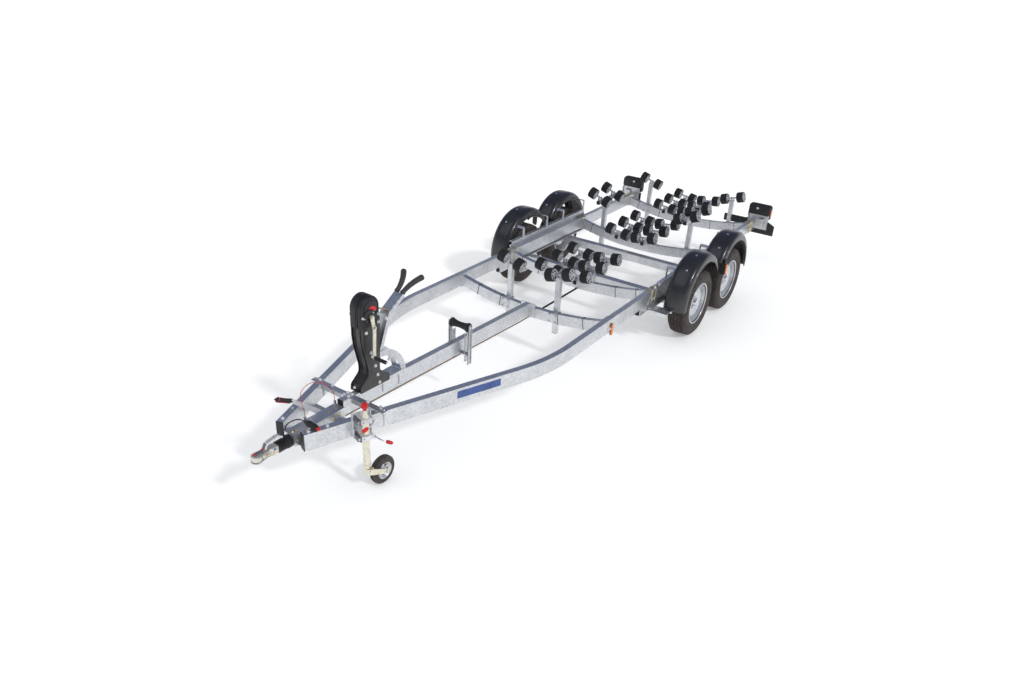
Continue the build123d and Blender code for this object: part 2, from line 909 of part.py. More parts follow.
# Jockey wheel: sliding tube, swivelling fork and wheel
def make_jockey_tube():
    tube = Pos(jockey_x, jockey_y, 0) * (
        rod((0, 0, jockey_tube_bottom_z), (0, 0, jockey_tube_top_z), jockey_tube_radius)
        - rod((0, 0, jockey_tube_bottom_z - overrun), (0, 0, jockey_inner_top_z + jockey_collar_gap),
              jockey_tube_radius - jockey_tube_wall)
    )
    knob = Pos(jockey_x, jockey_y, jockey_tube_top_z) * rod((0, 0, 0), (0, 0, 2 * jockey_knob_radius),
                                                           jockey_knob_radius)
    return tube + knob


def make_jockey_fork():
    arm_x = jockey_x + jockey_wheel_width / 2 + jockey_hub_gap
    hub = (jockey_y + jockey_trail, jockey_wheel_radius)
    half = jockey_arm_width / 2
    stem = Pos(jockey_x, jockey_y, 0) * rod((0, 0, jockey_fork_bottom_z), (0, 0, jockey_inner_top_z),
                                            jockey_inner_radius)
    collar_top = jockey_tube_bottom_z - jockey_collar_gap
    collar = Pos(jockey_x, jockey_y, 0) * rod((0, 0, collar_top - jockey_collar_height), (0, 0, collar_top),
                                              jockey_tube_radius)
    shoe = block(
        (jockey_x, arm_x + jockey_arm_gauge),
        (jockey_y - jockey_inner_radius, jockey_y + jockey_inner_radius),
        (jockey_fork_bottom_z, jockey_fork_bottom_z + jockey_arm_width),
    )
    arm_start = Pos(jockey_y, jockey_fork_bottom_z + half) * Circle(half)
    arm_end = Pos(*hub) * Circle(half)
    side = Plane(origin=(arm_x, 0, 0), x_dir=(0, 1, 0), z_dir=(1, 0, 0))
    arm = extrude(side * make_hull(arm_start.edges() + arm_end.edges()), jockey_arm_gauge)
    axle = rod((jockey_x - jockey_wheel_width / 2, *hub), (arm_x, *hub), jockey_axle_radius)
    return stem + collar + shoe + arm + axle


def make_jockey_wheel():
    half, corner = jockey_wheel_width / 2, jockey_tyre_corner
    rim_half = jockey_rim_width / 2
    bore = jockey_axle_radius + jockey_axle_gap
    profile = Polyline(
        (-rim_half, bore), (-rim_half, jockey_rim_radius), (-half, jockey_rim_radius),
        (-half, jockey_wheel_radius - corner), (corner - half, jockey_wheel_radius),
        (half - corner, jockey_wheel_radius), (half, jockey_wheel_radius - corner),
        (half, jockey_rim_radius), (rim_half, jockey_rim_radius), (rim_half, bore), close=True,
    )
    return turned(make_face(profile), (jockey_x, jockey_y + jockey_trail, jockey_wheel_radius))


parts["jockey_tube"] = make_jockey_tube()
parts["jockey_fork"] = make_jockey_fork()
parts["jockey_wheel"] = make_jockey_wheel()


# Clamp that holds the jockey tube against the left rail
def make_clamp():
    lean = radians(drawbar_angle)
    standoff = (jockey_x - rail_face_x(jockey_y)) * cos(lean)
    foot_x, foot_y = jockey_x - standoff * cos(lean), jockey_y + standoff * sin(lean)
    along, away = (sin(lean), cos(lean), 0), (cos(lean), -sin(lean), 0)
    face = Plane(origin=(foot_x, foot_y, 0), x_dir=along, z_dir=away)
    low_z = rail_top_z - rail_height
    back = Pos(0, low_z + clamp_plate_height / 2) * Rectangle(clamp_plate_width, clamp_plate_height)
    clamp = extrude(face * back, plate_gauge)
    outer = jockey_tube_radius + clamp_ring_wall
    levers = {
        clamp_low_ring_z: (clamp_low_lever_x, clamp_low_lever_y, clamp_low_lever_z),
        clamp_high_ring_z: (clamp_high_lever_x, clamp_high_lever_y, clamp_high_lever_z),
    }
    for ring_z in levers:
        middle = ring_z + clamp_ring_height / 2
        neck = face * Pos(0, middle) * Rectangle(clamp_block_width, clamp_ring_height)
        clamp += extrude(neck, standoff)
        clamp += rod((jockey_x, jockey_y, ring_z), (jockey_x, jockey_y, ring_z + clamp_ring_height), outer)
    for ring_z, (dx, dy, tip_z) in levers.items():
        reach = hypot(dx, dy)
        near = (outer - clamp_ring_wall / 2) / reach
        start = Vector(jockey_x + dx * near, jockey_y + dy * near, ring_z + clamp_ring_height / 2)
        tip = Vector(jockey_x + dx, jockey_y + dy, tip_z)
        grip = tip - (tip - start).normalized() * clamp_grip_length
        clamp += rod(start, tip, clamp_lever_radius) + rod(grip, tip, clamp_grip_radius)
    bore = rod((jockey_x, jockey_y, low_z - overrun), (jockey_x, jockey_y, rail_top_z + clamp_plate_height),
               jockey_tube_radius + clamp_ring_gap)
    return clamp - bore


parts["jockey_clamp"] = make_clamp()


# Winch post: a folded channel, open at its back, on a base plate over the keel beam
def post_outline():
    """The front edge from the base up, then the rear edge down again, as (y, z) points."""
    base_y = nose_y + post_from_nose
    head_y = base_y + post_head_lead
    waist_y = base_y + post_waist_lead
    waist_end, head_end = waist_y + post_waist_length, head_y + post_head_length
    base_end = base_y + post_base_length
    flare = post_base_gauge + post_flare_rise
    front = [
        (base_y, keel_top(base_y)), (base_y, keel_top(base_y) + flare), (waist_y, post_waist_low_z),
        (waist_y, post_waist_high_z), (head_y, post_shoulder_z), (head_y, post_top_z),
    ]
    rear = [
        (head_end, post_top_z), (head_end, post_shoulder_z),
        (waist_end, post_waist_high_z), (waist_end, post_waist_low_z),
        (base_end, keel_top(base_end) + flare), (base_end, keel_top(base_end)),
    ]
    return front, rear


def make_post():
    front, rear = post_outline()
    half = post_width / 2
    post = side_plate(front + rear, -half, post_width)
    inner = [(y + post_skin, z) for y, z in front[1:-1]]
    base_y, base_end = front[0][0] + post_skin, rear[-1][0] + overrun
    head_y = front[-1][0] + post_skin
    hollow = [
        (base_y, keel_top(base_y) + post_base_gauge), *inner, (head_y, post_top_z + overrun),
        (base_end, post_top_z + overrun), (base_end, keel_top(base_end) + post_base_gauge),
    ]
    return post - side_plate(hollow, post_skin - half, post_width - 2 * post_skin)


parts["winch_post"] = make_post()


# Winch cover: a round-topped housing with a groove round it, on the post's top
def cover_shape(radius, centre):
    legs = Pos(centre[0], (centre[1] + post_top_z) / 2) * Rectangle(2 * radius, centre[1] - post_top_z)
    return Pos(*centre) * Circle(radius) + legs


def make_cover():
    low_y = nose_y + post_from_nose + post_head_lead - cover_lead
    centre = (low_y + cover_radius, cover_top_z - cover_radius)
    across = Plane(origin=(-cover_width / 2, 0, 0), x_dir=(0, 1, 0), z_dir=(1, 0, 0))
    skirt = block((-cover_width, cover_width), (low_y - overrun, low_y + 2 * cover_radius + overrun),
                  (post_top_z - cover_radius, post_top_z))
    cover = extrude(across * cover_shape(cover_radius, centre), cover_width)
    inside = cover_shape(cover_radius - cover_groove_depth, centre)
    ring = cover_shape(cover_radius + overrun, centre) - inside
    groove = Pos((cover_width - cover_groove) / 2, 0, 0) * extrude(across * ring, cover_groove)
    boss_y = nose_y + crank_from_nose
    boss = rod((post_width / 2 + running_gap, boss_y, crank_pivot_z),
               (cover_width / 2 + cover_boss_depth, boss_y, crank_pivot_z), cover_boss_radius)
    return cover - groove - skirt + boss


parts["winch_cover"] = make_cover()


# Winch crank: shaft, flat bar and grip, hanging down at rest
def make_crank():
    y = nose_y + crank_from_nose
    start_x = cover_width / 2 + cover_boss_depth + running_gap
    bar_x = cover_width / 2 + crank_offset
    low_z = crank_pivot_z - crank_reach
    half = crank_bar_width / 2
    shaft = rod((start_x, y, crank_pivot_z), (bar_x, y, crank_pivot_z), crank_shaft_radius)
    ends = [Pos(y, z) * Circle(half) for z in (crank_pivot_z, low_z)]
    side = Plane(origin=(bar_x, 0, 0), x_dir=(0, 1, 0), z_dir=(1, 0, 0))
    bar = extrude(side * make_hull(ends[0].edges() + ends[1].edges()), crank_gauge)
    grip = rod((bar_x + crank_gauge, y, low_z), (bar_x + crank_gauge + crank_grip_length, y, low_z),
               crank_grip_radius)
    return shaft + bar + grip


parts["winch_crank"] = make_crank()


# Bow stop: a lipped arm from inside the post, its quadrant, saddle, horns and the winch strap
stop_points = [
    (nose_y + stop_foot_from_nose, stop_foot_z),
    (nose_y + stop_knee_from_nose, stop_knee_z),
    (nose_y + stop_tip_from_nose, stop_tip_z),
]


def make_stop_arm():
    path = FilletPolyline(*[(0, y, z) for y, z in stop_points], radius=stop_bend_radius)
    web = strip(path, stop_arm_width, stop_arm_gauge)
    start = Plane(path @ 0, x_dir=(1, 0, 0), z_dir=path % 0)
    lip_x = (stop_arm_width - stop_arm_gauge) / 2
    lip = sweep(start * Pos(lip_x, stop_arm_lip / 2) * Rectangle(stop_arm_gauge, stop_arm_lip), path)
    foot_y, foot_z = stop_points[0]
    inner = post_width / 2 - post_skin
    pin = rod((-inner, foot_y, foot_z), (inner, foot_y, foot_z), stop_pin_radius)
    return web + lip + right(lip) + pin


def make_quadrant():
    """A quarter ring beside the arm, standing on a saddle over the keel beam."""
    centre_y = nose_y + quadrant_from_nose
    saddle_y = nose_y + saddle_from_nose
    low_z = keel_top(saddle_y + keel_saddle_length)
    top_z = low_z + keel_saddle_rise
    x = stop_arm_width / 2
    side = Plane(origin=(x, 0, 0), x_dir=(0, 1, 0), z_dir=(1, 0, 0))
    ring = Pos(centre_y, low_z) * (Circle(quadrant_radius) - Circle(quadrant_radius - quadrant_width))
    quarter = Pos(centre_y + quadrant_radius / 2, top_z + quadrant_radius / 2) * Rectangle(
        quadrant_radius, quadrant_radius)
    plate = extrude(side * (ring & quarter), plate_gauge)
    outline = [(saddle_y, keel_top(saddle_y)), (saddle_y + keel_saddle_length, low_z),
               (saddle_y + keel_saddle_length, top_z), (saddle_y, top_z)]
    saddle = side_plate(outline, -keel_saddle_width / 2, keel_saddle_width)
    return plate + right(plate) + saddle


parts["bow_stop_arm"] = make_stop_arm()
parts["bow_stop_quadrant"] = make_quadrant()


def make_horns():
    (knee_y, knee_z), (tip_y, tip_z) = stop_points[1:]
    way = Vector(0, tip_y - knee_y, tip_z - knee_z).normalized()
    root = Vector(horn_root_x, tip_y, tip_z)
    bend = root + way * (horn_reach * horn_bend_share)
    tip = Vector(horn_tip_x, tip_y, tip_z) + way * horn_reach
    radius = 0.45 * min((bend - root).length, (tip - bend).length) / tan(
        radians((bend - root).get_angle(tip - bend)) / 2)
    path = FilletPolyline(root, bend, tip, radius=radius)
    horn = sweep(Plane(root, z_dir=way) * Circle(horn_radius), path)
    return horn


parts["bow_stop_horns"] = both(make_horns())


# Winch strap, taut from the drum inside the cover to the arm's eye
def make_strap_web():
    start_y = nose_y + post_from_nose + post_head_lead - cover_lead + 2 * cover_radius
    end_y = nose_y + strap_web_end_from_nose
    top, low = (start_y, strap_web_start_z), (end_y, strap_web_end_z)
    outline = [top, low, (low[0], low[1] - strap_web_gauge), (top[0], top[1] - strap_web_gauge)]
    return side_plate(outline, -strap_web_width / 2, strap_web_width)


parts["winch_strap"] = make_strap_web()


# Keel roller: an hourglass on an axle between two uprights under the keel beam
def make_keel_roller():
    half, bore = keel_roller_length / 2, keel_axle_radius + keel_axle_gap
    end, waist, flat = keel_roller_end_radius, keel_roller_waist_radius, keel_roller_flat
    side = [(half, end), (half - flat, end), (half - 2 * flat, (end + waist) / 2), (flat, waist)]
    outline = [(-half, bore), *[(-x, radius) for x, radius in side], *side[::-1], (half, bore)]
    face = make_face(Polyline(*outline, close=True))
    return turned(face, (0, nose_y + keel_roller_from_nose, keel_roller_z))


def make_keel_bracket():
    y = nose_y + keel_roller_from_nose
    low_x = keel_roller_length / 2 + keel_roller_gap
    half = keel_upright_width / 2
    top_z = keel_roller_z + keel_upright_top_gap
    height = (keel_upright_bottom_z, top_z)
    upright = block((low_x, low_x + keel_upright_gauge), (y - half, y + half), height)
    for lip_y in (y - half, y + half - keel_upright_gauge):
        lip_x = (low_x, low_x + keel_upright_width / 2)
        upright += block(lip_x, (lip_y, lip_y + keel_upright_gauge), height)
    bar_y = (y - keel_bar_width / 2, y + keel_bar_width / 2)
    bar_top = keel_top(bar_y[1]) - keel_height
    bar = block((-low_x, low_x), bar_y, (bar_top - keel_bar_height, bar_top))
    plate = block(
        (keel_plate_x, keel_plate_x + keel_upright_gauge),
        (y - keel_plate_width / 2, y + keel_plate_width / 2),
        (keel_plate_bottom_z, keel_plate_top_z),
    )
    axle = rod((-low_x, y, keel_roller_z), (low_x, y, keel_roller_z), keel_axle_radius)
    return upright + right(upright) + bar + plate + right(plate) + axle


parts["keel_roller"] = make_keel_roller()
parts["keel_roller_bracket"] = make_keel_bracket()


# Small rollers in pairs on a tilted axle rod
def prism(radius, sides, start_x, end_x, taper=0):
    """A bar with flat sides along X, narrowing from start_x to end_x by the taper angle."""
    way = 1 if end_x > start_x else -1
    face = Plane(origin=(start_x, 0, 0), x_dir=(0, 1, 0), z_dir=(way, 0, 0)) * RegularPolygon(radius, sides)
    return extrude(face, abs(end_x - start_x), taper=taper)


def make_roller():
    half, flat = roller_width / 2, roller_width / 2 - roller_chamfer
    roller = prism(roller_radius, roller_sides, -flat, flat)
    for side in (-1, 1):
        roller += prism(roller_radius, roller_sides, side * flat, side * half, roller_taper)
    return roller


plain_roller = make_roller()


def make_roller_pair(x, y, z, half, tilt):
    """Two rollers at half either side of (x, z), the outer one higher, with the rod between."""
    pair = prism(axle_rod_radius, axle_rod_sides, -half, half)
    pair += [Pos(-half, 0, 0) * plain_roller, Pos(half, 0, 0) * plain_roller]
    return Pos(x, y, z) * Rot(0, -tilt, 0) * pair


def ears(x, y, base_z, pivot_z):
    """Two upright ears with a pin between them, for a bar that rocks on the pin."""
    gap_half = ladder_bar_width / 2 + pivot_ear_gap
    half = pivot_ear_width / 2
    side = Plane(origin=(x + gap_half, 0, 0), x_dir=(0, 1, 0), z_dir=(1, 0, 0))
    ear_face = make_face(Polyline(
        (y - half, base_z), (y - half, pivot_z), (y - half / 2, pivot_z + half),
        (y + half / 2, pivot_z + half), (y + half, pivot_z), (y + half, base_z), close=True,
    ))
    ear = extrude(side * ear_face, pivot_ear_gauge)
    other = Pos(-2 * gap_half - pivot_ear_gauge, 0, 0) * ear
    pin = rod((x - gap_half, y, pivot_z), (x + gap_half, y, pivot_z), pivot_pin_radius)
    return ear + other + pin


def make_cradle(x, y, z, half, tilt, places):
    """Roller pairs at the given distances along a bar that rocks about a pin through its middle."""
    bar_z = z - ladder_bar_drop
    reach = places[-1] + ladder_bar_end
    width = ladder_bar_width / 2
    bar = block((x - width, x + width), (y - reach, y + reach),
                (bar_z - ladder_bar_height / 2, bar_z + ladder_bar_height / 2))
    pin_hole = pivot_pin_radius + pivot_pin_gap
    bar -= rod((x - width - overrun, y, bar_z), (x + width + overrun, y, bar_z), pin_hole)
    neck = pair_neck_size / 2
    for place in places:
        bar += make_roller_pair(x, y + place, z, half, tilt)
        neck_y = (y + place - neck, y + place + neck)
        bar += block((x - neck, x + neck), neck_y, (bar_z + ladder_bar_height / 2, z))
    return bar


ladder_x = (ladder_inner_x + ladder_outer_x) / 2
ladder_z = (ladder_inner_z + ladder_outer_z) / 2
ladder_rise, ladder_run = ladder_outer_z - ladder_inner_z, ladder_outer_x - ladder_inner_x
ladder_half = hypot(ladder_rise, ladder_run) / 2
ladder_tilt = degrees(atan2(ladder_rise, ladder_run))
for number in ("2", "3", "4"):
    y = beam_places[number] + beam_width / 2
    places = (-ladder_pitch, 0, ladder_pitch)
    cradle = make_cradle(ladder_x, y, ladder_z, ladder_half, ladder_tilt, places)
    parts[f"cradle_{number}_left"] = cradle
    parts[f"cradle_{number}_right"] = right(cradle)
    support = ears(ladder_x, y, beam_top(ladder_x - ladder_bar_width), ladder_z - ladder_bar_drop)
    parts[f"cross_beam_{number}"] += support + right(support)


# Roller posts: square tubes clamped behind the beams
def make_post_tube(beam, x, top_z):
    low_y = beam_places[beam] + beam_width
    half = post_size / 2
    low_z = beam_top(x - half) - beam_height - post_stub
    tube = block((x - half, x + half), (low_y, low_y + post_size), (low_z, top_z))
    inner = half - post_wall
    middle = low_y + half
    bore_z = (low_z - overrun, top_z - post_wall)
    tube -= block((x - inner, x + inner), (middle - inner, middle + inner), bore_z)
    return tube, middle


def make_pair_post(beam, x, z, half, tilt):
    top_z = z - post_head_drop
    tube, y = make_post_tube(beam, x, top_z)
    neck = pair_neck_size / 2
    head = block((x - neck, x + neck), (y - neck, y + neck), (top_z - post_wall, z))
    return tube + head + make_roller_pair(x, y, z, half, tilt)


parts["bow_roller_posts"] = both(
    make_pair_post("1", bow_pair_x, bow_pair_z, bow_pair_half, bow_pair_angle))
parts["stern_roller_posts"] = both(
    make_pair_post("4", stern_pair_x, stern_pair_z, stern_pair_half, stern_pair_angle))

side_pivot_z = side_pair_z - ladder_bar_drop
side_head_z = side_pivot_z - ladder_bar_height
side_tube, side_y = make_post_tube("3", side_pair_x, side_head_z)
side_head_half = ladder_bar_width / 2 + pivot_ear_gap + pivot_ear_gauge
side_head = block(
    (side_pair_x - side_head_half, side_pair_x + side_head_half),
    (side_y - pivot_ear_width / 2, side_y + pivot_ear_width / 2),
    (side_head_z, side_head_z + plate_gauge),
)
side_post = side_tube + side_head + ears(side_pair_x, side_y, side_head_z, side_pivot_z)
parts["side_roller_posts"] = both(side_post)
side_cradle = make_cradle(side_pair_x, side_y, side_pair_z, side_pair_half, side_pair_angle,
                          (-side_pitch / 2, side_pitch / 2))
parts["side_cradle_left"] = side_cradle
parts["side_cradle_right"] = right(side_cradle)


# Rear lamps, each on a bracket at the end of its rail
def make_lamp_bracket():
    return block(
        (lamp_bracket_inner_x, lamp_bracket_outer_x),
        (rail_rear_y, rail_rear_y + lamp_bracket_gauge),
        (lamp_bracket_bottom_z, lamp_bracket_top_z),
    )


def make_lamp():
    low_y = rail_rear_y + lamp_bracket_gauge
    back = Plane(origin=(0, low_y, 0), x_dir=(1, 0, 0), z_dir=(0, -1, 0))
    body = Pos(lamp_inner_x + lamp_width / 2, lamp_bottom_z + lamp_height / 2) * RectangleRounded(
        lamp_width, lamp_height, lamp_corner)
    lamp = extrude(back * body, -lamp_depth)
    flap_top = flap_bottom_z + flap_height
    flap = make_face(Polyline(
        (lamp_inner_x, flap_bottom_z), (flap_outer_x, flap_bottom_z),
        (flap_outer_x, flap_top - flap_cut / 2), (flap_outer_x - flap_cut, flap_top),
        (lamp_inner_x, flap_top), close=True,
    ))
    return lamp + extrude(back * flap, -flap_thickness)


lamp = make_lamp()
plate_bar = block(
    (plate_bar_inner_x, lamp_inner_x),
    (rail_rear_y + lamp_bracket_gauge, rail_rear_y + lamp_bracket_gauge + flap_thickness),
    (plate_bar_z, plate_bar_z + plate_bar_height),
)
parts["rear_lamps"] = Compound(children=[lamp + plate_bar, right(lamp)])
parts["lamp_brackets"] = both(make_lamp_bracket())


# Amber side markers: a pair on the rails, and a pair with hangers on the rear mudguards
def make_marker(inner_x, y, low_z):
    x = (inner_x, inner_x + marker_thickness)
    return block(x, (y, y + marker_width), (low_z, low_z + marker_height))


def make_hanger(inner_x, y, low_z):
    """A rubber block on the mudguard's skirt with a strip under its front end."""
    block_x, block_z = (inner_x, inner_x + hanger_gauge), (low_z, guard_toe_z + hanger_rise)
    hanger = block(block_x, (y, y + marker_width), block_z)
    strip_x = (inner_x - hanger_strip_width, inner_x)
    return hanger + block(strip_x, (y, y + hanger_strip_gauge), (low_z, guard_toe_z))


rail_marker = make_marker(rail_outer_x, front_axle_y - marker_lead, marker_bottom_z)
guard_face_x = wheel_x + guard_width / 2
guard_toe_y = axle_places["rear"] - guard_foot_radius * sin(radians(guard_high_angle))
guard_toe_z = guard_centre_z + guard_foot_radius * cos(radians(guard_high_angle))
guard_marker_z = guard_toe_z + guard_marker_lap - marker_height
guard_marker = make_marker(guard_face_x + hanger_gauge, guard_toe_y - hanger_lead, guard_marker_z)
hung_marker = guard_marker + make_hanger(guard_face_x, guard_toe_y - hanger_lead, guard_marker_z)
parts["side_markers"] = Compound(
    children=[rail_marker, right(rail_marker), hung_marker, right(hung_marker)])


# Brake rod from the bell crank to the front axle, under the keel beam and the beams
def make_brake_rod():
    start_y = housing_rear_y + running_gap
    start_z = rail_top_z - rail_height - rod_drop
    knee_y = keel_rear_y - rod_knee_lead
    end_y = front_axle_y - axle_lead - axle_size
    knee = (0, knee_y, rod_level_z)
    return rod((0, start_y, start_z), knee, rod_radius) + rod(knee, (0, end_y, rod_level_z), rod_radius)


parts["brake_rod"] = make_brake_rod()


# Breakaway cable and lighting lead, as tubes along straight runs joined by tangent arcs
def cord_tube(route, radius):
    points = [Vector(x, nose_y + along, z) for x, along, z in route]
    edges, start = [], points[0]
    for before, corner, after in zip(points, points[1:], points[2:]):
        reach = cord_bend_share * min((corner - before).length, (after - corner).length)
        entry = corner - (corner - before).normalized() * reach
        leave = corner + (after - corner).normalized() * reach
        edges += [Line(start, entry), TangentArc(entry, leave, tangent=corner - before)]
        start = leave
    edges.append(Line(start, points[-1]))
    return sweep(Plane(points[0], z_dir=points[1] - points[0]) * Circle(radius), Wire(edges))


def make_cable_lug(x, along, top_z):
    half, y = cable_lug_size / 2, nose_y + along
    return block((x - half, x + half), (y - half, y + half), (housing_top_z, top_z))


def make_plug():
    """The plug's boot with its cap, and apart from it the lead's gland on the front drawbar plate."""
    x, along, z = lead_route[0]
    boot = make_face(Polyline(
        (0, 0), (0, plug_neck_radius), (plug_neck_length, plug_radius), (plug_length, plug_radius),
        (plug_length, plug_cap_radius), (plug_length + plug_cap_length, plug_cap_radius),
        (plug_length + plug_cap_length, 0), close=True,
    ))
    gland_x, gland_along, gland_z = lead_route[-1]
    foot, top = [(gland_x, nose_y + gland_along, end) for end in (rail_top_z - rail_height, gland_z)]
    return Compound(children=[turned(boot, (x, nose_y + along, z)), rod(foot, top, gland_radius)])


parts["overrun_housing"] += [make_cable_lug(*cable_route[0]), make_cable_lug(*cable_route[-1])]
parts["breakaway_cable"] = cord_tube(cable_route, cable_radius)
parts["plug_lead"] = cord_tube(lead_route, lead_radius)
parts["lighting_plug"] = make_plug()

os.makedirs("parts", exist_ok=True)
for node, piece in parts.items():
    export_step(piece, f"parts/{node}.step")
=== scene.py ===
"""Looks of a twin-axle roller boat trailer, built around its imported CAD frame.

Every shape is drawn in millimetres in the trailer's own frame, X to its left, Y to its stern
and Z up, and becomes metres when its piece is made.
"""

from math import atan2, cos, degrees, pi, radians, sin, sqrt

import bmesh
import bpy
from bpy.props import FloatProperty, FloatVectorProperty, IntProperty, PointerProperty
from mathutils import Matrix, Vector


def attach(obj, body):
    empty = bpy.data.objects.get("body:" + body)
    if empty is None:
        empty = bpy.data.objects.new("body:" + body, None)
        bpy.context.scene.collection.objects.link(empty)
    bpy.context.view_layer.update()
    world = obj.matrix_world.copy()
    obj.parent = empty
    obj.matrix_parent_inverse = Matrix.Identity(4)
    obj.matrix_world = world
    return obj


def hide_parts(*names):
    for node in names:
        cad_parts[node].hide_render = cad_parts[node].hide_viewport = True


bl_info = {
    "name": "Roller boat trailer looks",
    "version": (1, 0, 0),
    "blender": (4, 5, 0),
    "location": "3D View > Sidebar > Trailer",
    "description": "Finishes and fine pieces of a twin-axle roller boat trailer",
    "category": "Object",
}

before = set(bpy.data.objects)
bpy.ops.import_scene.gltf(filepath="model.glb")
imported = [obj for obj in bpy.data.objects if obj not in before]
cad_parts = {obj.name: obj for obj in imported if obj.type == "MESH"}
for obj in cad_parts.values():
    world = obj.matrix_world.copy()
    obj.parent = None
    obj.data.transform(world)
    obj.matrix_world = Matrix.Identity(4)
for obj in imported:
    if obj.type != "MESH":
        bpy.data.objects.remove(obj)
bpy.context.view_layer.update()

mm = 0.001
sides_of = {"left": 1, "right": -1}
up = Vector((0, 0, 1))

# Places shared with the solids, in millimetres
axle_y = {"front": 942, "rear": 1728}
wheel_x, wheel_z = 990, 320
wheels = [(f"{axle}_{hand}", side, (side * wheel_x, y, wheel_z))
          for axle, y in axle_y.items() for hand, side in sides_of.items()]
rail_out, rail_top = 800, 540
beam_y = {"1": -388, "2": 452, "3": 1847, "4": 3042}
beam_bow_radius = 3252.5
coupling_z = 456
ball_y = -3383
crank_y, crank_z = -2440, 1093
jockey_x, jockey_y = 330, -2781
jockey_wheel_y, jockey_wheel_z = -2641, 103
keel_roller_y, keel_roller_z = -1380, 618
drawbar_lean = radians(20.1)
guard_z = 390
hex_sides = 6
plain_tread_depth, plain_bolt_size = 0.007, 0.02


# Sizes and colours that a user may change
class TrailerSizes(bpy.types.PropertyGroup):
    tread_depth: FloatProperty(
        name="Tread depth", description="Depth of the grooves between the tread blocks",
        default=plain_tread_depth, min=0.002, max=0.01, unit="LENGTH")
    tread_pitches: IntProperty(
        name="Tread pitches", description="Blocks in each row round a tyre",
        default=76, min=30, max=90)
    bolt_size: FloatProperty(
        name="Bolt size", description="Width across the corners of a frame bolt's head",
        default=plain_bolt_size, min=0.008, max=0.04, unit="LENGTH")
    roller_ribs: IntProperty(
        name="Roller ribs", description="Fine ribs round each small roller",
        default=9, min=0, max=16)
    hub_spokes: IntProperty(
        name="Hub spokes", description="Spokes in a small roller's hub", default=6, min=3, max=12)
    guard_skin: FloatProperty(
        name="Mudguard thickness", description="Wall of the moulded mudguards",
        default=0.005, min=0.002, max=0.005, unit="LENGTH")


def colour_property(name, description, default):
    return FloatVectorProperty(
        name=name, description=description, default=default, size=3, min=0, max=1, subtype="COLOR")


class TrailerColours(bpy.types.PropertyGroup):
    galvanised: colour_property("Galvanised steel", "Hot-dipped zinc on the frame",
                                (0.70, 0.715, 0.73))
    zinc: colour_property("Bright zinc", "Bolts, nuts and the coupling head", (0.72, 0.73, 0.75))
    yellow_zinc: colour_property("Yellow zinc", "Passivated clamps and the crank",
                                 (0.72, 0.60, 0.33))
    guard: colour_property("Mudguard plastic", "Glossy black moulding", (0.022, 0.022, 0.024))
    plastic: colour_property("Black plastic", "Covers, caps and boots", (0.016, 0.016, 0.018))
    paint: colour_property("Black paint", "The winch post's coating", (0.022, 0.020, 0.020))
    roller: colour_property("Roller rubber", "Barrels of the small rollers", (0.014, 0.014, 0.016))
    hub: colour_property("Roller hub", "Grey moulded hubs", (0.60, 0.61, 0.62))
    cream_zinc: colour_property("Cream zinc", "The jockey wheel's tube and the crank",
                                (0.83, 0.79, 0.64))
    cast: colour_property("Cast coupling", "The coupling head's pale casting", (0.74, 0.71, 0.64))
    tyre: colour_property("Tyre rubber", "Brown-black tread and sidewalls", (0.052, 0.042, 0.038))
    rim: colour_property("Rim silver", "Painted wheel rims", (0.66, 0.67, 0.69))
    red: colour_property("Red plastic", "Buttons, trim and the cover's cap", (0.64, 0.010, 0.014))
    amber: colour_property("Amber lens", "Side markers and turn lamps", (0.95, 0.24, 0.008))
    blue: colour_property("Blue plate", "Blank plate on the drawbar leg", (0.03, 0.085, 0.30))
    strap: colour_property("Winch strap", "Yellow-brown webbing", (0.44, 0.31, 0.10))


def sizes():
    return bpy.context.scene.trailer_sizes


def colours():
    return bpy.context.scene.trailer_colours


# Shapes in millimetres: each call adds closed or open faces to a bmesh
def add_faces(bm, points, faces, slot=0):
    made = [bm.verts.new(point) for point in points]
    for corners in faces:
        face = bm.faces.new([made[i] for i in corners])
        face.material_index = slot
    return made


def block(bm, x, y, z, slot=0):
    """A box between a low and a high value along each axis."""
    points = [(a, b, c) for a in x for b in y for c in z]
    faces = [(0, 1, 3, 2), (4, 6, 7, 5), (0, 4, 5, 1), (2, 3, 7, 6), (0, 2, 6, 4), (1, 5, 7, 3)]
    return add_faces(bm, points, faces, slot)


def across(way):
    """Two unit vectors square to a direction and to each other."""
    way = Vector(way).normalized()
    first = way.cross(up if abs(way.z) < 0.9 else Vector((1, 0, 0))).normalized()
    return first, way.cross(first)


def ring(centre, first, second, radius, count):
    angles = [2 * pi * i / count for i in range(count)]
    return [Vector(centre) + (first * cos(a) + second * sin(a)) * radius for a in angles]


def skin(bm, low, high, slot=0, skip=lambda i: False):
    """Faces between two closed loops of made points."""
    count = len(low)
    for i in range(count):
        if not skip(i):
            j = (i + 1) % count
            bm.faces.new((low[i], low[j], high[j], high[i])).material_index = slot


def loft(bm, loops, slot=0, close_way=False):
    """Skin over closed loops of as many points each, with flat ends or closed as a ring."""
    rows = [[bm.verts.new(p) for p in loop] for loop in loops]
    for low, high in zip(rows, rows[1:]):
        skin(bm, low, high, slot)
    if close_way:
        skin(bm, rows[-1], rows[0], slot)
    else:
        bm.faces.new(rows[0][::-1]).material_index = slot
        bm.faces.new(rows[-1]).material_index = slot


def rod(bm, start, end, radius, count=20, slot=0):
    first, second = across(Vector(end) - Vector(start))
    loft(bm, [ring(spot, first, second, radius, count) for spot in (start, end)], slot)


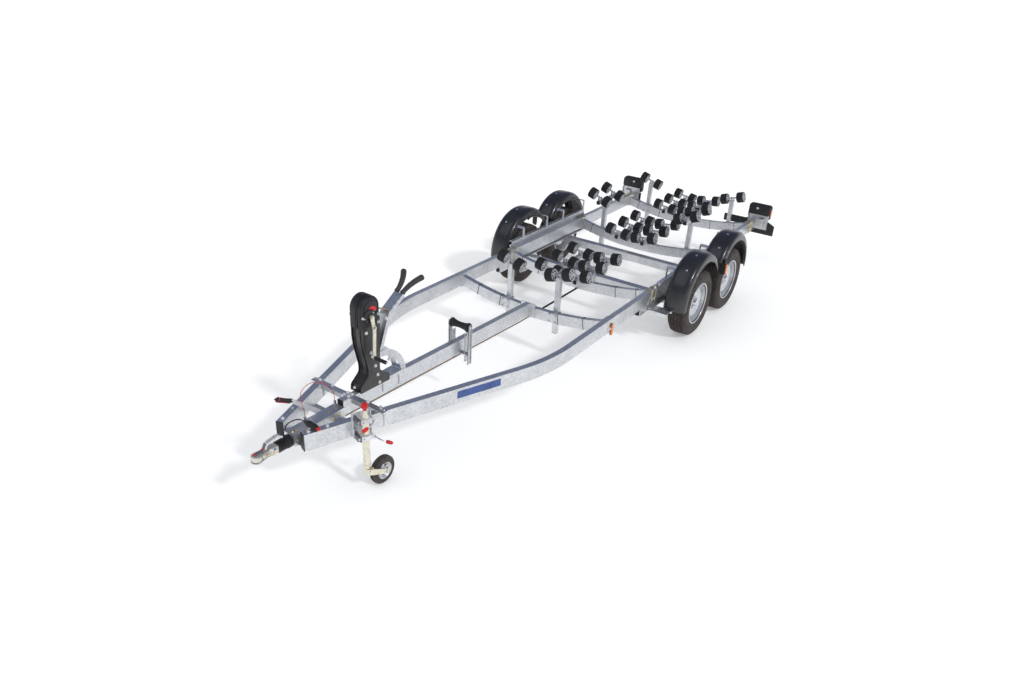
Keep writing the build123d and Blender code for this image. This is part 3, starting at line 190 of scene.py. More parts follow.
def turned(bm, outline, centre, axis=(1, 0, 0), count=48, slot=0):
    """An outline of (distance along the axis, radius) points turned once round it."""
    way = Vector(axis).normalized()
    first, second = across(way)
    loops = [ring(Vector(centre) + way * s, first, second, max(r, 0.01), count) for s, r in outline]
    loft(bm, loops, slot, close_way=True)


def pierced_disc(bm, centre, way, frame_way, profile, count, is_open):
    """A turned sheet, open where is_open(row, cell) holds, its cells counted round frame_way."""
    first, second = across(frame_way)
    loops = [ring(Vector(centre) + Vector(way) * s, first, second, r, count) for s, r in profile]
    rows = [[bm.verts.new(p) for p in loop] for loop in loops]
    for k, (low, high) in enumerate(zip(rows, rows[1:])):
        skin(bm, low, high, 0, lambda i: is_open(k, i))


def bar(bm, path, radius, count=14, slot=0):
    """A round bar through points, with a radius for each point or one for all."""
    points = [Vector(p) for p in path]
    radii = radius if hasattr(radius, "__len__") else [radius] * len(points)
    first = across(points[1] - points[0])[0]
    loops = []
    for i, point in enumerate(points):
        way = (points[min(i + 1, len(points) - 1)] - points[max(i - 1, 0)]).normalized()
        first = (first - way * first.dot(way)).normalized()
        loops.append(ring(point, first, way.cross(first), radii[i], count))
    loft(bm, loops, slot)


def plate(bm, outline, start, thickness, slot=0):
    """A flat piece: an outline of 3-D points in one plane, made thick along a vector."""
    shift = Vector(thickness)
    low = [Vector(start) + Vector(p) for p in outline]
    loft(bm, [low, [p + shift for p in low]], slot)


def side_plate(bm, outline, x, thickness, slot=0):
    """A plate of (y, z) points, thick along X."""
    plate(bm, [(0, y, z) for y, z in outline], (x, 0, 0), (thickness, 0, 0), slot)


def cross_plate(bm, outline, y, thickness, slot=0):
    """A plate of (x, z) points, thick along Y."""
    plate(bm, [(x, 0, z) for x, z in outline], (0, y, 0), (0, thickness, 0), slot)


def arc_points(centre, radius, start, end, count):
    """Points (a, b) on an arc in a plane, with angles in degrees."""
    angles = [radians(start + (end - start) * i / (count - 1)) for i in range(count)]
    return [(centre[0] + radius * cos(a), centre[1] + radius * sin(a)) for a in angles]


def eased(points, reach, count=6):
    """A rigid bar's path, each corner eased by a short curve that starts at a given reach."""
    spots = [Vector(p) for p in points]
    path = [spots[0]]
    for before, corner, after in zip(spots, spots[1:], spots[2:]):
        start = corner + (before - corner).normalized() * reach
        end = corner + (after - corner).normalized() * reach
        for i in range(count):
            t = i / (count - 1)
            path.append(start * (1 - t)**2 + corner * 2 * t * (1 - t) + end * t**2)
    return path + [spots[-1]]


def strip(bm, path, width, gauge, slot=0):
    """A flat strip along a path in the Y-Z plane, its width along X and its edges broken."""
    w, g, c = width / 2, gauge / 2, gauge / 4
    corners = [(c - w, -g), (w - c, -g), (w, c - g), (w, g - c), (w - c, g), (c - w, g),
               (-w, g - c), (-w, c - g)]
    loops = []
    for i, spot in enumerate(path):
        way = (path[min(i + 1, len(path) - 1)] - path[max(i - 1, 0)]).normalized()
        loops.append([(spot.x + x, spot.y - way.z * s, spot.z + way.y * s) for x, s in corners])
    loft(bm, loops, slot)


def capsule(start, end, start_radius, end_radius, count=9):
    """Outline of a strap between two round ends, as (a, b) points."""
    turn = degrees(atan2(end[1] - start[1], end[0] - start[0]))
    return (arc_points(end, end_radius, turn - 90, turn + 90, count)
            + arc_points(start, start_radius, turn + 90, turn + 270, count))


def rounded_outline(first, second, corner, inset=0.0):
    """A rectangle between low and high values of a and b with round corners, as (a, b) points."""
    r = max(corner - inset, 1)
    low_a, high_a = first[0] + inset + r, first[1] - inset - r
    low_b, high_b = second[0] + inset + r, second[1] - inset - r
    spots = []
    for a, b, start in ((high_a, high_b, 0), (low_a, high_b, 90), (low_a, low_b, 180),
                        (high_a, low_b, 270)):
        spots += arc_points((a, b), r, start, start + 90, 6)
    return spots


def rounded_block(bm, first, second, corner, levels, axis=1, slot=0):
    """A block with round corners: its outline drawn in by an inset at each level along an axis."""
    loops = []
    for level, inset in levels:
        spots = rounded_outline(first, second, corner, inset)
        loops.append([(*spot[:axis], level, *spot[axis:]) for spot in spots])
    loft(bm, loops, slot)


def perforated(bm, start, way, side, cells, cell, hole, thick):
    """A flat bar of equal cells along a way, with a round hole in each."""
    way, side, deep = Vector(way), Vector(side), Vector(thick)
    rim = [(1, 0), (1, 1), (0, 1), (-1, 1), (-1, 0), (-1, -1), (0, -1), (1, -1)]
    for n in range(cells):
        centre = Vector(start) + way * (cell[0] * (n + 0.5))
        outer = [centre + way * (a * cell[0] / 2) + side * (b * cell[1] / 2) for a, b in rim]
        inner = [centre + (way * cos(k * pi / 4) + side * sin(k * pi / 4)) * hole for k in range(8)]
        loops = [outer, inner, [v + deep for v in inner], [v + deep for v in outer]]
        rows = [[bm.verts.new(v) for v in loop] for loop in loops]
        for i in range(8):
            j = (i + 1) % 8
            for low, high in zip(rows, rows[1:]):
                bm.faces.new((low[i], low[j], high[j], high[i]))
            joint = rim[i][0] == rim[j][0] and (n < cells - 1 if rim[i][0] == 1 else n > 0)
            if not joint or rim[i][0] == 0:
                bm.faces.new((rows[3][i], rows[3][j], rows[0][j], rows[0][i]))


def stood(bm, origin, first, second, third):
    """Take everything in the bmesh from its own axes into the trailer's frame."""
    matrix = Matrix((first, second, third)).transposed().to_4x4()
    matrix.translation = Vector(origin)
    bmesh.ops.transform(bm, matrix=matrix, verts=bm.verts)


def flip(bm, verts):
    """Take vertices across to the trailer's other side."""
    bmesh.ops.scale(bm, vec=(-1, 1, 1), verts=verts)


def both_sides(draw):
    """A drawing of the left side together with its mirror image."""
    def draw_both(bm):
        draw(bm)
        copy = bmesh.ops.duplicate(bm, geom=[*bm.verts, *bm.edges, *bm.faces])
        flip(bm, [g for g in copy["geom"] if isinstance(g, bmesh.types.BMVert)])
    return draw_both


# Pieces: a mesh at the origin that rides on a body
def finish_mesh(bm, name, materials, smooth=35):
    bmesh.ops.remove_doubles(bm, verts=bm.verts, dist=0.05)
    bmesh.ops.dissolve_degenerate(bm, edges=bm.edges, dist=0.001)
    bmesh.ops.recalc_face_normals(bm, faces=bm.faces)
    bmesh.ops.transform(bm, matrix=Matrix.Scale(mm, 4), verts=bm.verts)
    mesh = bpy.data.meshes.new(name)
    bm.to_mesh(mesh)
    bm.free()
    for made in materials:
        mesh.materials.append(made)
    mesh.shade_smooth()
    mesh.set_sharp_from_angle(angle=radians(smooth))
    return mesh


def make_piece(name, draw, body, finishes, slot, replaces=(), bevel=0, smooth=35):
    """A piece that a function draws on a bmesh."""
    bm = bmesh.new()
    draw(bm)
    mesh = finish_mesh(bm, name, [finish(f) for f in finishes], smooth)
    return place(name, mesh, body, slot, replaces, bevel)


def thicken(piece, thickness, offset):
    """Give a piece's sheet its thickness, in metres."""
    sheet = piece.modifiers.new("Skin", "SOLIDIFY")
    sheet.thickness, sheet.offset = thickness, offset


def place(name, mesh, body, slot, replaces=(), bevel=0):
    piece = bpy.data.objects.new(name, mesh)
    bpy.context.scene.collection.objects.link(piece)
    if bevel:
        edge = piece.modifiers.new("Edge", "BEVEL")
        edge.width, edge.segments, edge.limit_method = bevel * mm, 2, "ANGLE"
        edge.angle_limit, edge.harden_normals = radians(40), True
    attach(piece, body)
    if replaces:
        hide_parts(*replaces)
    return piece


# Geometry Nodes: one item repeated on points that face a way
# Seed of the random spin, and how far bolts and rollers may spin, in radians
spin_seed, bolt_spin, full_spin = 7, 1.0, 6.28


def repeat_tree():
    """An item on points: "facing" turns its Z and "along" its X, then a random spin."""
    known = bpy.data.node_groups.get("Repeated piece")
    if known:
        return known
    tree = bpy.data.node_groups.new("Repeated piece", "GeometryNodeTree")
    face = tree.interface
    face.new_socket("Places", in_out="INPUT", socket_type="NodeSocketGeometry")
    face.new_socket("Item", in_out="INPUT", socket_type="NodeSocketObject")
    face.new_socket("Scale", in_out="INPUT", socket_type="NodeSocketFloat").default_value = 1
    face.new_socket("Random spin", in_out="INPUT", socket_type="NodeSocketFloat")
    face.new_socket("Seed", in_out="INPUT", socket_type="NodeSocketInt").default_value = spin_seed
    face.new_socket("Finish", in_out="INPUT", socket_type="NodeSocketMaterial")
    face.new_socket("Pieces", in_out="OUTPUT", socket_type="NodeSocketGeometry")
    new, link = tree.nodes.new, tree.links.new
    given, made = new("NodeGroupInput"), new("NodeGroupOutput")
    item = new("GeometryNodeObjectInfo")
    link(given.outputs["Item"], item.inputs["Object"])
    turns = []
    for name, axis, pivot in (("facing", "Z", "AUTO"), ("along", "X", "Z")):
        read = new("GeometryNodeInputNamedAttribute")
        read.data_type = "FLOAT_VECTOR"
        read.inputs["Name"].default_value = name
        align = new("FunctionNodeAlignRotationToVector")
        align.axis, align.pivot_axis = axis, pivot
        link(read.outputs["Attribute"], align.inputs["Vector"])
        if turns:
            link(turns[-1].outputs["Rotation"], align.inputs["Rotation"])
        turns.append(align)
    chance = new("FunctionNodeRandomValue")
    link(given.outputs["Random spin"], chance.inputs[3])
    link(given.outputs["Seed"], chance.inputs["Seed"])
    spin = new("FunctionNodeAxisAngleToRotation")
    link(chance.outputs[1], spin.inputs["Angle"])
    both = new("FunctionNodeRotateRotation")
    both.rotation_space = "LOCAL"
    link(turns[-1].outputs["Rotation"], both.inputs["Rotation"])
    link(spin.outputs["Rotation"], both.inputs["Rotate By"])
    size = new("ShaderNodeCombineXYZ")
    for axis in "XYZ":
        link(given.outputs["Scale"], size.inputs[axis])
    copies = new("GeometryNodeInstanceOnPoints")
    link(given.outputs["Places"], copies.inputs["Points"])
    link(item.outputs["Geometry"], copies.inputs["Instance"])
    link(both.outputs["Rotation"], copies.inputs["Rotation"])
    link(size.outputs["Vector"], copies.inputs["Scale"])
    real = new("GeometryNodeRealizeInstances")
    link(copies.outputs["Instances"], real.inputs["Geometry"])
    paint = new("GeometryNodeSetMaterial")
    link(real.outputs["Geometry"], paint.inputs["Geometry"])
    link(given.outputs["Finish"], paint.inputs["Material"])
    link(paint.outputs["Geometry"], made.inputs["Pieces"])
    return tree


def repeated(name, places, item, body, finish_name, slot, scale=1.0, spin=0.0):
    """A piece made of one item at many places: (point in mm, facing, along) each."""
    base = bpy.data.meshes.new(name)
    base.from_pydata([Vector(spot[0]) * mm for spot in places], [], [])
    for index, key in ((1, "facing"), (2, "along")):
        values = base.attributes.new(key, "FLOAT_VECTOR", "POINT")
        values.data.foreach_set("vector", [c for spot in places for c in Vector(spot[index])])
    points = bpy.data.objects.new(name + "_points", base)
    bpy.context.scene.collection.objects.link(points)
    source = bpy.data.objects.new(name + "_item", item)
    bpy.context.scene.collection.objects.link(source)
    tree = repeat_tree()
    modifier = points.modifiers.new("Repeat", "NODES")
    modifier.node_group = tree
    inputs = {s.name: s.identifier for s in tree.interface.items_tree if s.in_out == "INPUT"}
    modifier[inputs["Item"]] = source
    modifier[inputs["Scale"]] = float(scale)
    modifier[inputs["Random spin"]] = float(spin)
    modifier[inputs["Seed"]] = spin_seed
    modifier[inputs["Finish"]] = finish(finish_name)
    graph = bpy.context.evaluated_depsgraph_get()
    mesh = bpy.data.meshes.new_from_object(points.evaluated_get(graph))
    mesh.name = name
    points.modifiers.clear()
    for scrap in (points, source):
        bpy.data.objects.remove(scrap)
    return place(name, mesh, body, slot)


def flank_places(x, spots, sides=(1, -1)):
    """Places for bolts on the flanks at x, for each (y, z)."""
    return [((side * x, y, z), (side, 0, 0), (0, 0, 1)) for y, z in spots for side in sides]


def item_mesh(name, build, smooth=35):
    """A mesh for the repeat tree, drawn once by a function on a bmesh."""
    bm = bmesh.new()
    build(bm)
    return finish_mesh(bm, name, [], smooth)


def draw_bolt(bm):
    """A hexagon head on a washer: 20 across the corners, its seat at z 0."""
    turned(bm, [(-4, 0.1), (-4, 12.5), (2.2, 12.5), (2.8, 11.9), (2.8, 0.1)], (0, 0, 0), up, 20)
    head = [(2.8, 9.6), (8.2, 10), (9.6, 8.6), (9.6, 0.1), (2.8, 0.1)]
    turned(bm, head, (0, 0, 0), up, hex_sides)


def draw_nut(bm):
    """A nut with the bolt's end showing through it."""
    draw_bolt(bm)
    rod(bm, (0, 0, 8), (0, 0, 15), 5, 12)


def draw_dome(bm):
    """A low round head, as on a mudguard bolt."""
    turned(bm, [(-2, 0.1), (-2, 11), (1.2, 11), (3.6, 8), (5, 4), (5.4, 0.1)], (0, 0, 0), up, 20)


# Finishes: procedural materials on object coordinates
class Nodes:
    """A material's nodes, with the shader and the object coordinates ready."""

    def __init__(self, name):
        self.material = bpy.data.materials.new(name)
        self.material.use_nodes = True
        self.tree = self.material.node_tree
        self.shader = self.tree.nodes["Principled BSDF"]
        self.place = self.add("ShaderNodeTexCoord").outputs["Object"]

    def add(self, kind):
        return self.tree.nodes.new(kind)

    def link(self, source, target):
        self.tree.links.new(source, target)

    def set(self, **values):
        names = {"metal": "Metallic", "rough": "Roughness", "coat": "Coat Weight",
                 "coat_rough": "Coat Roughness", "sheen": "Sheen Weight"}
        for key, value in values.items():
            self.shader.inputs[names[key]].default_value = value

    def texture(self, kind, scale):
        """A texture node on the object coordinates."""
        node = self.add(kind)
        node.inputs["Scale"].default_value = scale
        self.link(self.place, node.inputs["Vector"])
        return node

    def noise(self, scale, detail=4, rough=0.6):
        node = self.texture("ShaderNodeTexNoise", scale)
        node.inputs["Detail"].default_value = detail
        node.inputs["Roughness"].default_value = rough
        return node.outputs["Fac"]

    def wave(self, scale, direction):
        node = self.texture("ShaderNodeTexWave", scale)
        node.bands_direction = direction
        return node.outputs["Fac"]

    def cells(self, scale):
        return self.texture("ShaderNodeTexVoronoi", scale).outputs["Color"]

    def fit(self, value, low, high, start=0.0, end=1.0):
        node = self.add("ShaderNodeMapRange")
        for name, number in (("From Min", start), ("From Max", end), ("To Min", low),
                             ("To Max", high)):
            node.inputs[name].default_value = number
        self.link(value, node.inputs["Value"])
        return node.outputs["Result"]

    def colour(self, factor, base, dark, light, start=0.3, end=0.7):
        """A colour from a dark to a light share of it as a factor goes from start to end."""
        node = self.add("ShaderNodeValToRGB")
        low, high = node.color_ramp.elements
        low.position, high.position = start, end
        low.color, high.color = (*shade(base, dark), 1), (*shade(base, light), 1)
        self.link(factor, node.inputs["Fac"])
        self.link(node.outputs["Color"], self.shader.inputs["Base Color"])

    def roughness(self, factor, low, high):
        self.link(self.fit(factor, low, high, 0.3, 0.7), self.shader.inputs["Roughness"])

    def bump(self, height, strength, distance=0.001):
        node = self.add("ShaderNodeBump")
        node.inputs["Strength"].default_value = strength
        node.inputs["Distance"].default_value = distance
        self.link(height, node.inputs["Height"])
        last = self.shader.inputs["Normal"]
        if last.links:
            self.link(last.links[0].from_socket, node.inputs["Normal"])
        self.link(node.outputs["Normal"], last)


def shade(colour, share):
    return [min(1.0, c * share) for c in colour]


def make_galvanised(n, colour):
    """Mottled zinc: spangle cells, broad clouding and a fine grain."""
    grey = n.add("ShaderNodeSeparateColor")
    n.link(n.cells(70), grey.inputs["Color"])
    cloud = n.noise(6, 5, 0.6)
    mixed = n.add("ShaderNodeMath")
    mixed.operation = "MULTIPLY_ADD"
    mixed.inputs[1].default_value = 0.4
    n.link(grey.outputs["Red"], mixed.inputs[0])
    n.link(n.fit(cloud, -0.1, 0.75), mixed.inputs[2])
    n.colour(mixed.outputs["Value"], colour, 0.76, 1.14, 0.15, 0.95)
    n.set(metal=0.9)
    n.roughness(n.noise(22, 4, 0.6), 0.3, 0.46)
    n.bump(n.noise(260, 3, 0.6), 0.12, 0.0006)


def make_brushed(n, colour, rough=0.3, metal=0.9):
    n.colour(n.noise(35, 4, 0.6), colour, 0.8, 1.1)
    n.set(metal=metal)
    n.roughness(n.noise(120, 3, 0.6), rough - 0.06, rough + 0.1)
    n.bump(n.noise(600, 2, 0.5), 0.08, 0.0003)


def make_plastic(n, colour, rough=0.5, grain=900.0, strength=0.12, coat=0.0):
    n.colour(n.noise(9, 4, 0.6), colour, 0.75, 1.3)
    n.roughness(n.noise(60, 4, 0.6), rough - 0.05, rough + 0.08)
    n.set(coat=coat, coat_rough=0.08)
    n.bump(n.noise(grain, 2, 0.5), strength, 0.0003)


def make_lens(n, colour):
    """A ribbed lens: a clear coat over a deep colour with fine prisms."""
    prisms = n.wave(90, "Z")
    n.colour(prisms, colour, 0.7, 1.15, 0.1, 0.9)
    n.set(rough=0.16, coat=0.6, coat_rough=0.04)
    n.bump(prisms, 0.25, 0.0008)


def make_webbing(n, colour):
    """Woven strap: ribs across it and a diagonal weave."""
    ribs, weave = n.wave(120, "X"), n.wave(160, "DIAGONAL")
    n.colour(weave, colour, 0.6, 1.15, 0.1, 0.9)
    n.set(rough=0.8, sheen=0.3)
    n.bump(ribs, 0.4, 0.0008)
    n.bump(weave, 0.3, 0.0005)


def make_rubber(n, colour, rough=0.72, dust=0.0):
    n.colour(n.noise(14, 5, 0.65), colour, 0.75, 1.35 + dust)
    n.roughness(n.noise(40, 4, 0.6), rough - 0.08, rough + 0.1)
    n.bump(n.noise(500, 3, 0.6), 0.15, 0.0004)


def make_painted_rim(n, colour):
    n.colour(n.noise(12, 4, 0.6), colour, 0.88, 1.08)
    n.set(metal=0.55, coat=0.35, coat_rough=0.12)
    n.roughness(n.noise(300, 3, 0.6), 0.3, 0.4)
    n.bump(n.noise(1400, 2, 0.5), 0.06, 0.0002)


def finish(name):
    """The named finish, made the first time that it is asked for."""
    title = f"{name.replace('_', ' ').capitalize()} finish"
    known = bpy.data.materials.get(title)
    if known:
        return known
    c = colours()
    n = Nodes(title)
    makers = {
        "galvanised": lambda: make_galvanised(n, c.galvanised),
        "zinc": lambda: make_brushed(n, c.zinc),
        "yellow_zinc": lambda: make_brushed(n, c.yellow_zinc, 0.36),
        "cream_zinc": lambda: make_brushed(n, c.cream_zinc, 0.34, 0.75),
        "cast": lambda: make_brushed(n, c.cast, 0.4, 0.7),
        "bright_steel": lambda: make_brushed(n, (0.80, 0.81, 0.83), 0.5, 0.35),
        "horn": lambda: make_rubber(n, (0.046, 0.042, 0.042), 0.6),
        "dark_steel": lambda: make_brushed(n, shade(c.galvanised, 0.35), 0.5, 0.7),
        "guard": lambda: make_plastic(n, c.guard, 0.3, 90, 0.002, 0.3),
        "plastic": lambda: make_plastic(n, c.plastic, 0.5),
        "black_paint": lambda: make_plastic(n, c.paint, 0.32, 320, 0.1, 0.25),
        "brown_steel": lambda: make_brushed(n, (0.33, 0.24, 0.16), 0.45, 0.6),
        "roller": lambda: make_rubber(n, c.roller, 0.6),
        "hub": lambda: make_plastic(n, c.hub, 0.5),
        "tyre": lambda: make_rubber(n, c.tyre, 0.78, 0.25),
        "rim": lambda: make_painted_rim(n, c.rim),
        "red": lambda: make_plastic(n, c.red, 0.35, 900, 0.08),
        "amber": lambda: make_lens(n, c.amber),
        "red_lens": lambda: make_lens(n, shade(c.red, 0.9)),
        "clear_lens": lambda: make_lens(n, (0.62, 0.62, 0.63)),
        "blue": lambda: make_plastic(n, c.blue, 0.3, 900, 0.04, 0.3),
        "white": lambda: make_plastic(n, (0.72, 0.72, 0.73), 0.4, 900, 0.05),
        "webbing": lambda: make_webbing(n, c.strap),
    }
    makers[name]()
    return n.material


node_finishes = {
    "galvanised": (
        "side_rail_left side_rail_right cross_beam_1 cross_beam_2 cross_beam_3 cross_beam_4 "
        "keel_beam front_cross_plate axle_front axle_rear carrier_left carrier_right step_plates "
        "overrun_housing bow_stop_arm bow_stop_quadrant side_roller_posts"),
    "brown_steel": "brake_rod",
    "plastic": "beam_end_caps",
}


class TRAILER_OT_node_finishes(bpy.types.Operator):
    """Give every CAD node that stays in view its procedural finish"""

    bl_idname = "trailer.node_finishes"
    bl_label = "Finishes of the frame"

    def execute(self, context):
        for name, nodes in node_finishes.items():
            for node in nodes.split():
                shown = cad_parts[node]
                if not shown.material_slots:
                    shown.data.materials.append(finish(name))
                for slot in shown.material_slots:
                    slot.material = finish(name)
        return {"FINISHED"}


# Stage: floor, light, world and the photograph's camera
def make_world():
    world = bpy.data.worlds.new("Studio")
    bpy.context.scene.world = world
    world.use_nodes = True
    tree = world.node_tree
    new, link = tree.nodes.new, tree.links.new
    tree.nodes.clear()
    out = new("ShaderNodeOutputWorld")
    place = new("ShaderNodeTexCoord")
    parts = new("ShaderNodeSeparateXYZ")
    link(place.outputs["Generated"], parts.inputs["Vector"])
    sky = new("ShaderNodeValToRGB")
    stops = sky.color_ramp.elements
    stops[0].position, stops[0].color = 0.06, (0.86, 0.88, 0.92, 1)
    stops[1].position, stops[1].color = 0.42, (0.058, 0.09, 0.20, 1)
    link(parts.outputs["Z"], sky.inputs["Fac"])
    light = new("ShaderNodeLightPath")
    plain = new("ShaderNodeBackground")
    plain.inputs["Color"].default_value = (0.80, 0.82, 0.85, 1)
    plain.inputs["Strength"].default_value = 0.75
    shine = new("ShaderNodeBackground")
    link(sky.outputs["Color"], shine.inputs["Color"])
    white = new("ShaderNodeBackground")
    white.inputs["Color"].default_value = (1, 1, 1, 1)
    last = plain
    for ray, layer in (("Is Glossy Ray", shine), ("Is Transmission Ray", white),
                       ("Is Camera Ray", white)):
        mix = new("ShaderNodeMixShader")
        link(light.outputs[ray], mix.inputs["Fac"])
        link(last.outputs[0], mix.inputs[1])
        link(layer.outputs[0], mix.inputs[2])
        last = mix
    link(last.outputs[0], out.inputs["Surface"])


def make_floor_finish():
    """Pale floor that shows white to the camera and keeps the trailer's shadow."""
    material = bpy.data.materials.new("Pale floor")
    material.use_nodes = True
    n = material.node_tree
    shader = n.nodes["Principled BSDF"]
    shader.inputs["Base Color"].default_value = (0.93, 0.93, 0.93, 1)
    shader.inputs["Roughness"].default_value = 0.9
    shader.inputs["Specular IOR Level"].default_value = 0.1
    shader.inputs["Emission Color"].default_value = (1, 1, 1, 1)
    light = n.nodes.new("ShaderNodeLightPath")
    seen = n.nodes.new("ShaderNodeMath")
    seen.operation = "MAXIMUM"
    share = n.nodes.new("ShaderNodeMath")
    share.operation = "MULTIPLY"
    share.inputs[1].default_value = 0.24
    n.links.new(light.outputs["Is Camera Ray"], seen.inputs[0])
    n.links.new(light.outputs["Is Glossy Ray"], seen.inputs[1])
    n.links.new(seen.outputs[0], share.inputs[0])
    n.links.new(share.outputs[0], shader.inputs["Emission Strength"])
    return material


def make_camera():
    """The photograph's view, found from the wheels, rails and beams in it."""
    place = Vector((3.30986, -5.68238, 3.29064))
    yaw, pitch, roll = radians(35.0), radians(28.24), radians(2.515)
    ahead = Vector((-sin(yaw) * cos(pitch), cos(yaw) * cos(pitch), -sin(pitch)))
    level = ahead.cross(up).normalized()
    rise = level.cross(ahead)
    x = level * cos(roll) + rise * sin(roll)
    y = rise * cos(roll) - level * sin(roll)
    camera = bpy.data.objects.new("Camera", bpy.data.cameras.new("Camera"))
    bpy.context.scene.collection.objects.link(camera)
    camera.matrix_world = Matrix.Translation(place) @ Matrix((x, y, -ahead)).transposed().to_4x4()
    camera.data.lens, camera.data.sensor_width = 27.16, 36
    camera.data.shift_x, camera.data.shift_y = 0.01735, 0.01457
    bpy.context.scene.camera = camera


class TRAILER_OT_stage(bpy.types.Operator):
    """Make the camera, the floor, the lamps and the world"""

    bl_idname = "trailer.stage"
    bl_label = "Stage"

    def execute(self, context):
        context.scene.view_settings.view_transform = "Standard"
        make_camera()
        make_world()
        floor = bpy.data.meshes.new("floor")
        reach = 60
        corners = [(-reach, -reach, 0), (reach, -reach, 0), (reach, reach, 0), (-reach, reach, 0)]
        floor.from_pydata(corners, [], [(0, 1, 2, 3)])
        floor.materials.append(make_floor_finish())
        ground = bpy.data.objects.new("floor", floor)
        context.scene.collection.objects.link(ground)
        lamps = (("Key", (1.34, -0.15, 1.15), 6, 1.05), ("Fill", (-0.6, -1.0, 1.6), 40, 0.25))
        for name, way, spread, strength in lamps:
            lamp = bpy.data.lights.new(name, "SUN")
            lamp.energy, lamp.angle = strength, radians(spread)
            holder = bpy.data.objects.new(name, lamp)
            context.scene.collection.objects.link(holder)
            holder.rotation_euler = (-Vector(way)).to_track_quat("-Z", "Y").to_euler()
        return {"FINISHED"}


# Cords: the breakaway cable and the plug's lead, on the same routes as their solids
cable_route = (
    (-36, -2959, 530), (-36, -2959, 574), (-36, -2972, 620), (-37, -2983, 666), (-39, -2980, 708),
    (-41, -2954, 738), (-42, -2912, 751), (-42, -2864, 748), (-41, -2818, 729), (-39, -2777, 697),
    (-38, -2737, 656), (-36, -2711, 613), (-36, -2697, 570), (-36, -2697, 530),
)
lead_route = (
    (45, -3030, 567.3), (12, -3030, 567.3), (-18, -3046, 563), (-40, -3074, 552),
    (-58, -3098, 529), (-68, -3103, 497), (-70, -3082, 466), (-70, -3082, 432),
)


def cord_line(name, route):
    """Points along the smooth line of a route, in millimetres, read from its NURBS spline."""
    line = bpy.data.curves.new(name, "CURVE")
    line.dimensions = "3D"
    spline = line.splines.new("NURBS")
    spline.points.add(len(route) - 1)
    for point, spot in zip(spline.points, route):
        point.co = (*(Vector(spot) * mm), 1)
    spline.order_u = 3
    spline.use_endpoint_u = True
    spline.resolution_u = 8
    cord = bpy.data.objects.new(name, line)
    bpy.context.scene.collection.objects.link(cord)
    graph = bpy.context.evaluated_depsgraph_get()
    seen = bpy.data.meshes.new_from_object(cord.evaluated_get(graph))
    points = [v.co / mm for v in seen.vertices]
    bpy.data.objects.remove(cord)
    bpy.data.meshes.remove(seen)
    return points


def make_cord(name, route, radius, finish_name, node):
    """A round cord along its route, with the points and the length of its line in metres."""
    line = cord_line(name + "_line", route)
    cord = make_piece(name, lambda bm: bar(bm, line, radius, 12), "frame", [finish_name],
                      "black_plastic", [node], smooth=60)
    path = [tuple(point * mm) for point in line]
    return cord, path, sum((b - a).length for a, b in zip(line, line[1:])) * mm


def draw_plug(bm):
    """The plug with its red cap at the lead's start, and the gland at its end."""
    start = Vector(lead_route[0])
    way = Vector((136, 0, -6)).normalized()
    body = [(0, 0.1), (0, 9), (5, 10), (12, 13), (24, 18), (36, 20.5), (40, 21), (60, 21),
            (62, 19.6), (66, 19.6), (68, 21), (96, 20.5), (108, 17.5), (116, 14), (120, 13),
            (120, 0.1)]
    turned(bm, body, start, way, 32)
    turned(bm, [(119, 0.1), (119, 12.5), (131, 12), (136, 9), (136, 0.1)], start, way, 28, 1)
    gland = [(-12, 0.1), (-12, 8), (-7, 8), (-7, 7), (0, 5), (0, 0.1)]
    turned(bm, gland, Vector(lead_route[-1]), up, 20)


class TRAILER_OT_cords(bpy.types.Operator):
    """Make the breakaway cable, the lighting lead and its plug"""

    bl_idname = "trailer.cords"
    bl_label = "Cords and plug"

    def execute(self, context):
        cable, cable_path, cable_length = make_cord(
            "breakaway_wire", cable_route, 2.2, "red", "breakaway_cable")
        plug = make_piece("plug_boot", draw_plug, "frame", ["plastic", "red"], "black_plastic",
                          ["lighting_plug"])
        lead, lead_path, lead_length = make_cord("plug_cable", lead_route, 4, "plastic",
                                                 "plug_lead")
        return {"FINISHED"}


# Road wheels
# Half of the casing from the bead to the crown, as (distance along X, radius) points
casing_half = [(76, 185), (79, 190), (81, 198), (84, 206), (87, 219), (91, 236), (94, 252),
               (95, 263), (94, 276), (91, 288), (86, 299), (82, 304.5), (76, 308), (66, 311),
               (40, 312.6)]


def draw_casing(bm, centre):
    outline = casing_half + [(-x, r) for x, r in casing_half[::-1]]
    turned(bm, outline, centre, (1, 0, 0), 96)
    for x, r in ((92.2, 240), (93.6, 285)):
        for way in (-1, 1):
            rib = [(way * (x - 2), r - 2.5), (way * (x + 1.4), r - 1.5), (way * (x + 1.4), r + 1.5),
                   (way * (x - 2), r + 2.5)]
            turned(bm, rib, centre, (1, 0, 0), 96)


# Radius at which a row's pitch is measured, a block's share of it, its foot and its top's share
tread_radius, block_share, block_foot, block_taper = 316, 0.82, -4, 0.93


def draw_block(width, length, slant, top):
    """A tread block on a tyre's crown, its foot sunk in the casing and slanted along its length."""
    def draw(bm):
        low = [(-width / 2, -length / 2 - slant), (width / 2, -length / 2 + slant),
               (width / 2, length / 2 + slant), (-width / 2, length / 2 - slant)]
        high = [(x * block_taper, y * block_taper, top) for x, y in low]
        loft(bm, [[(x, y, block_foot) for x, y in low], high])
    return draw


tread_rows = (
    # middle along X, width, slant, top over the row's radius, radius, lean in degrees
    (0, 26, 2.5, 7.2, 312.6, 0), (32, 25, 3.5, 7.0, 312.4, 0), (-32, 25, -3.5, 7.0, 312.4, 0),
    (61, 24, 5, 6.6, 310.8, 7), (-61, 24, -5, 6.6, 310.8, -7),
)


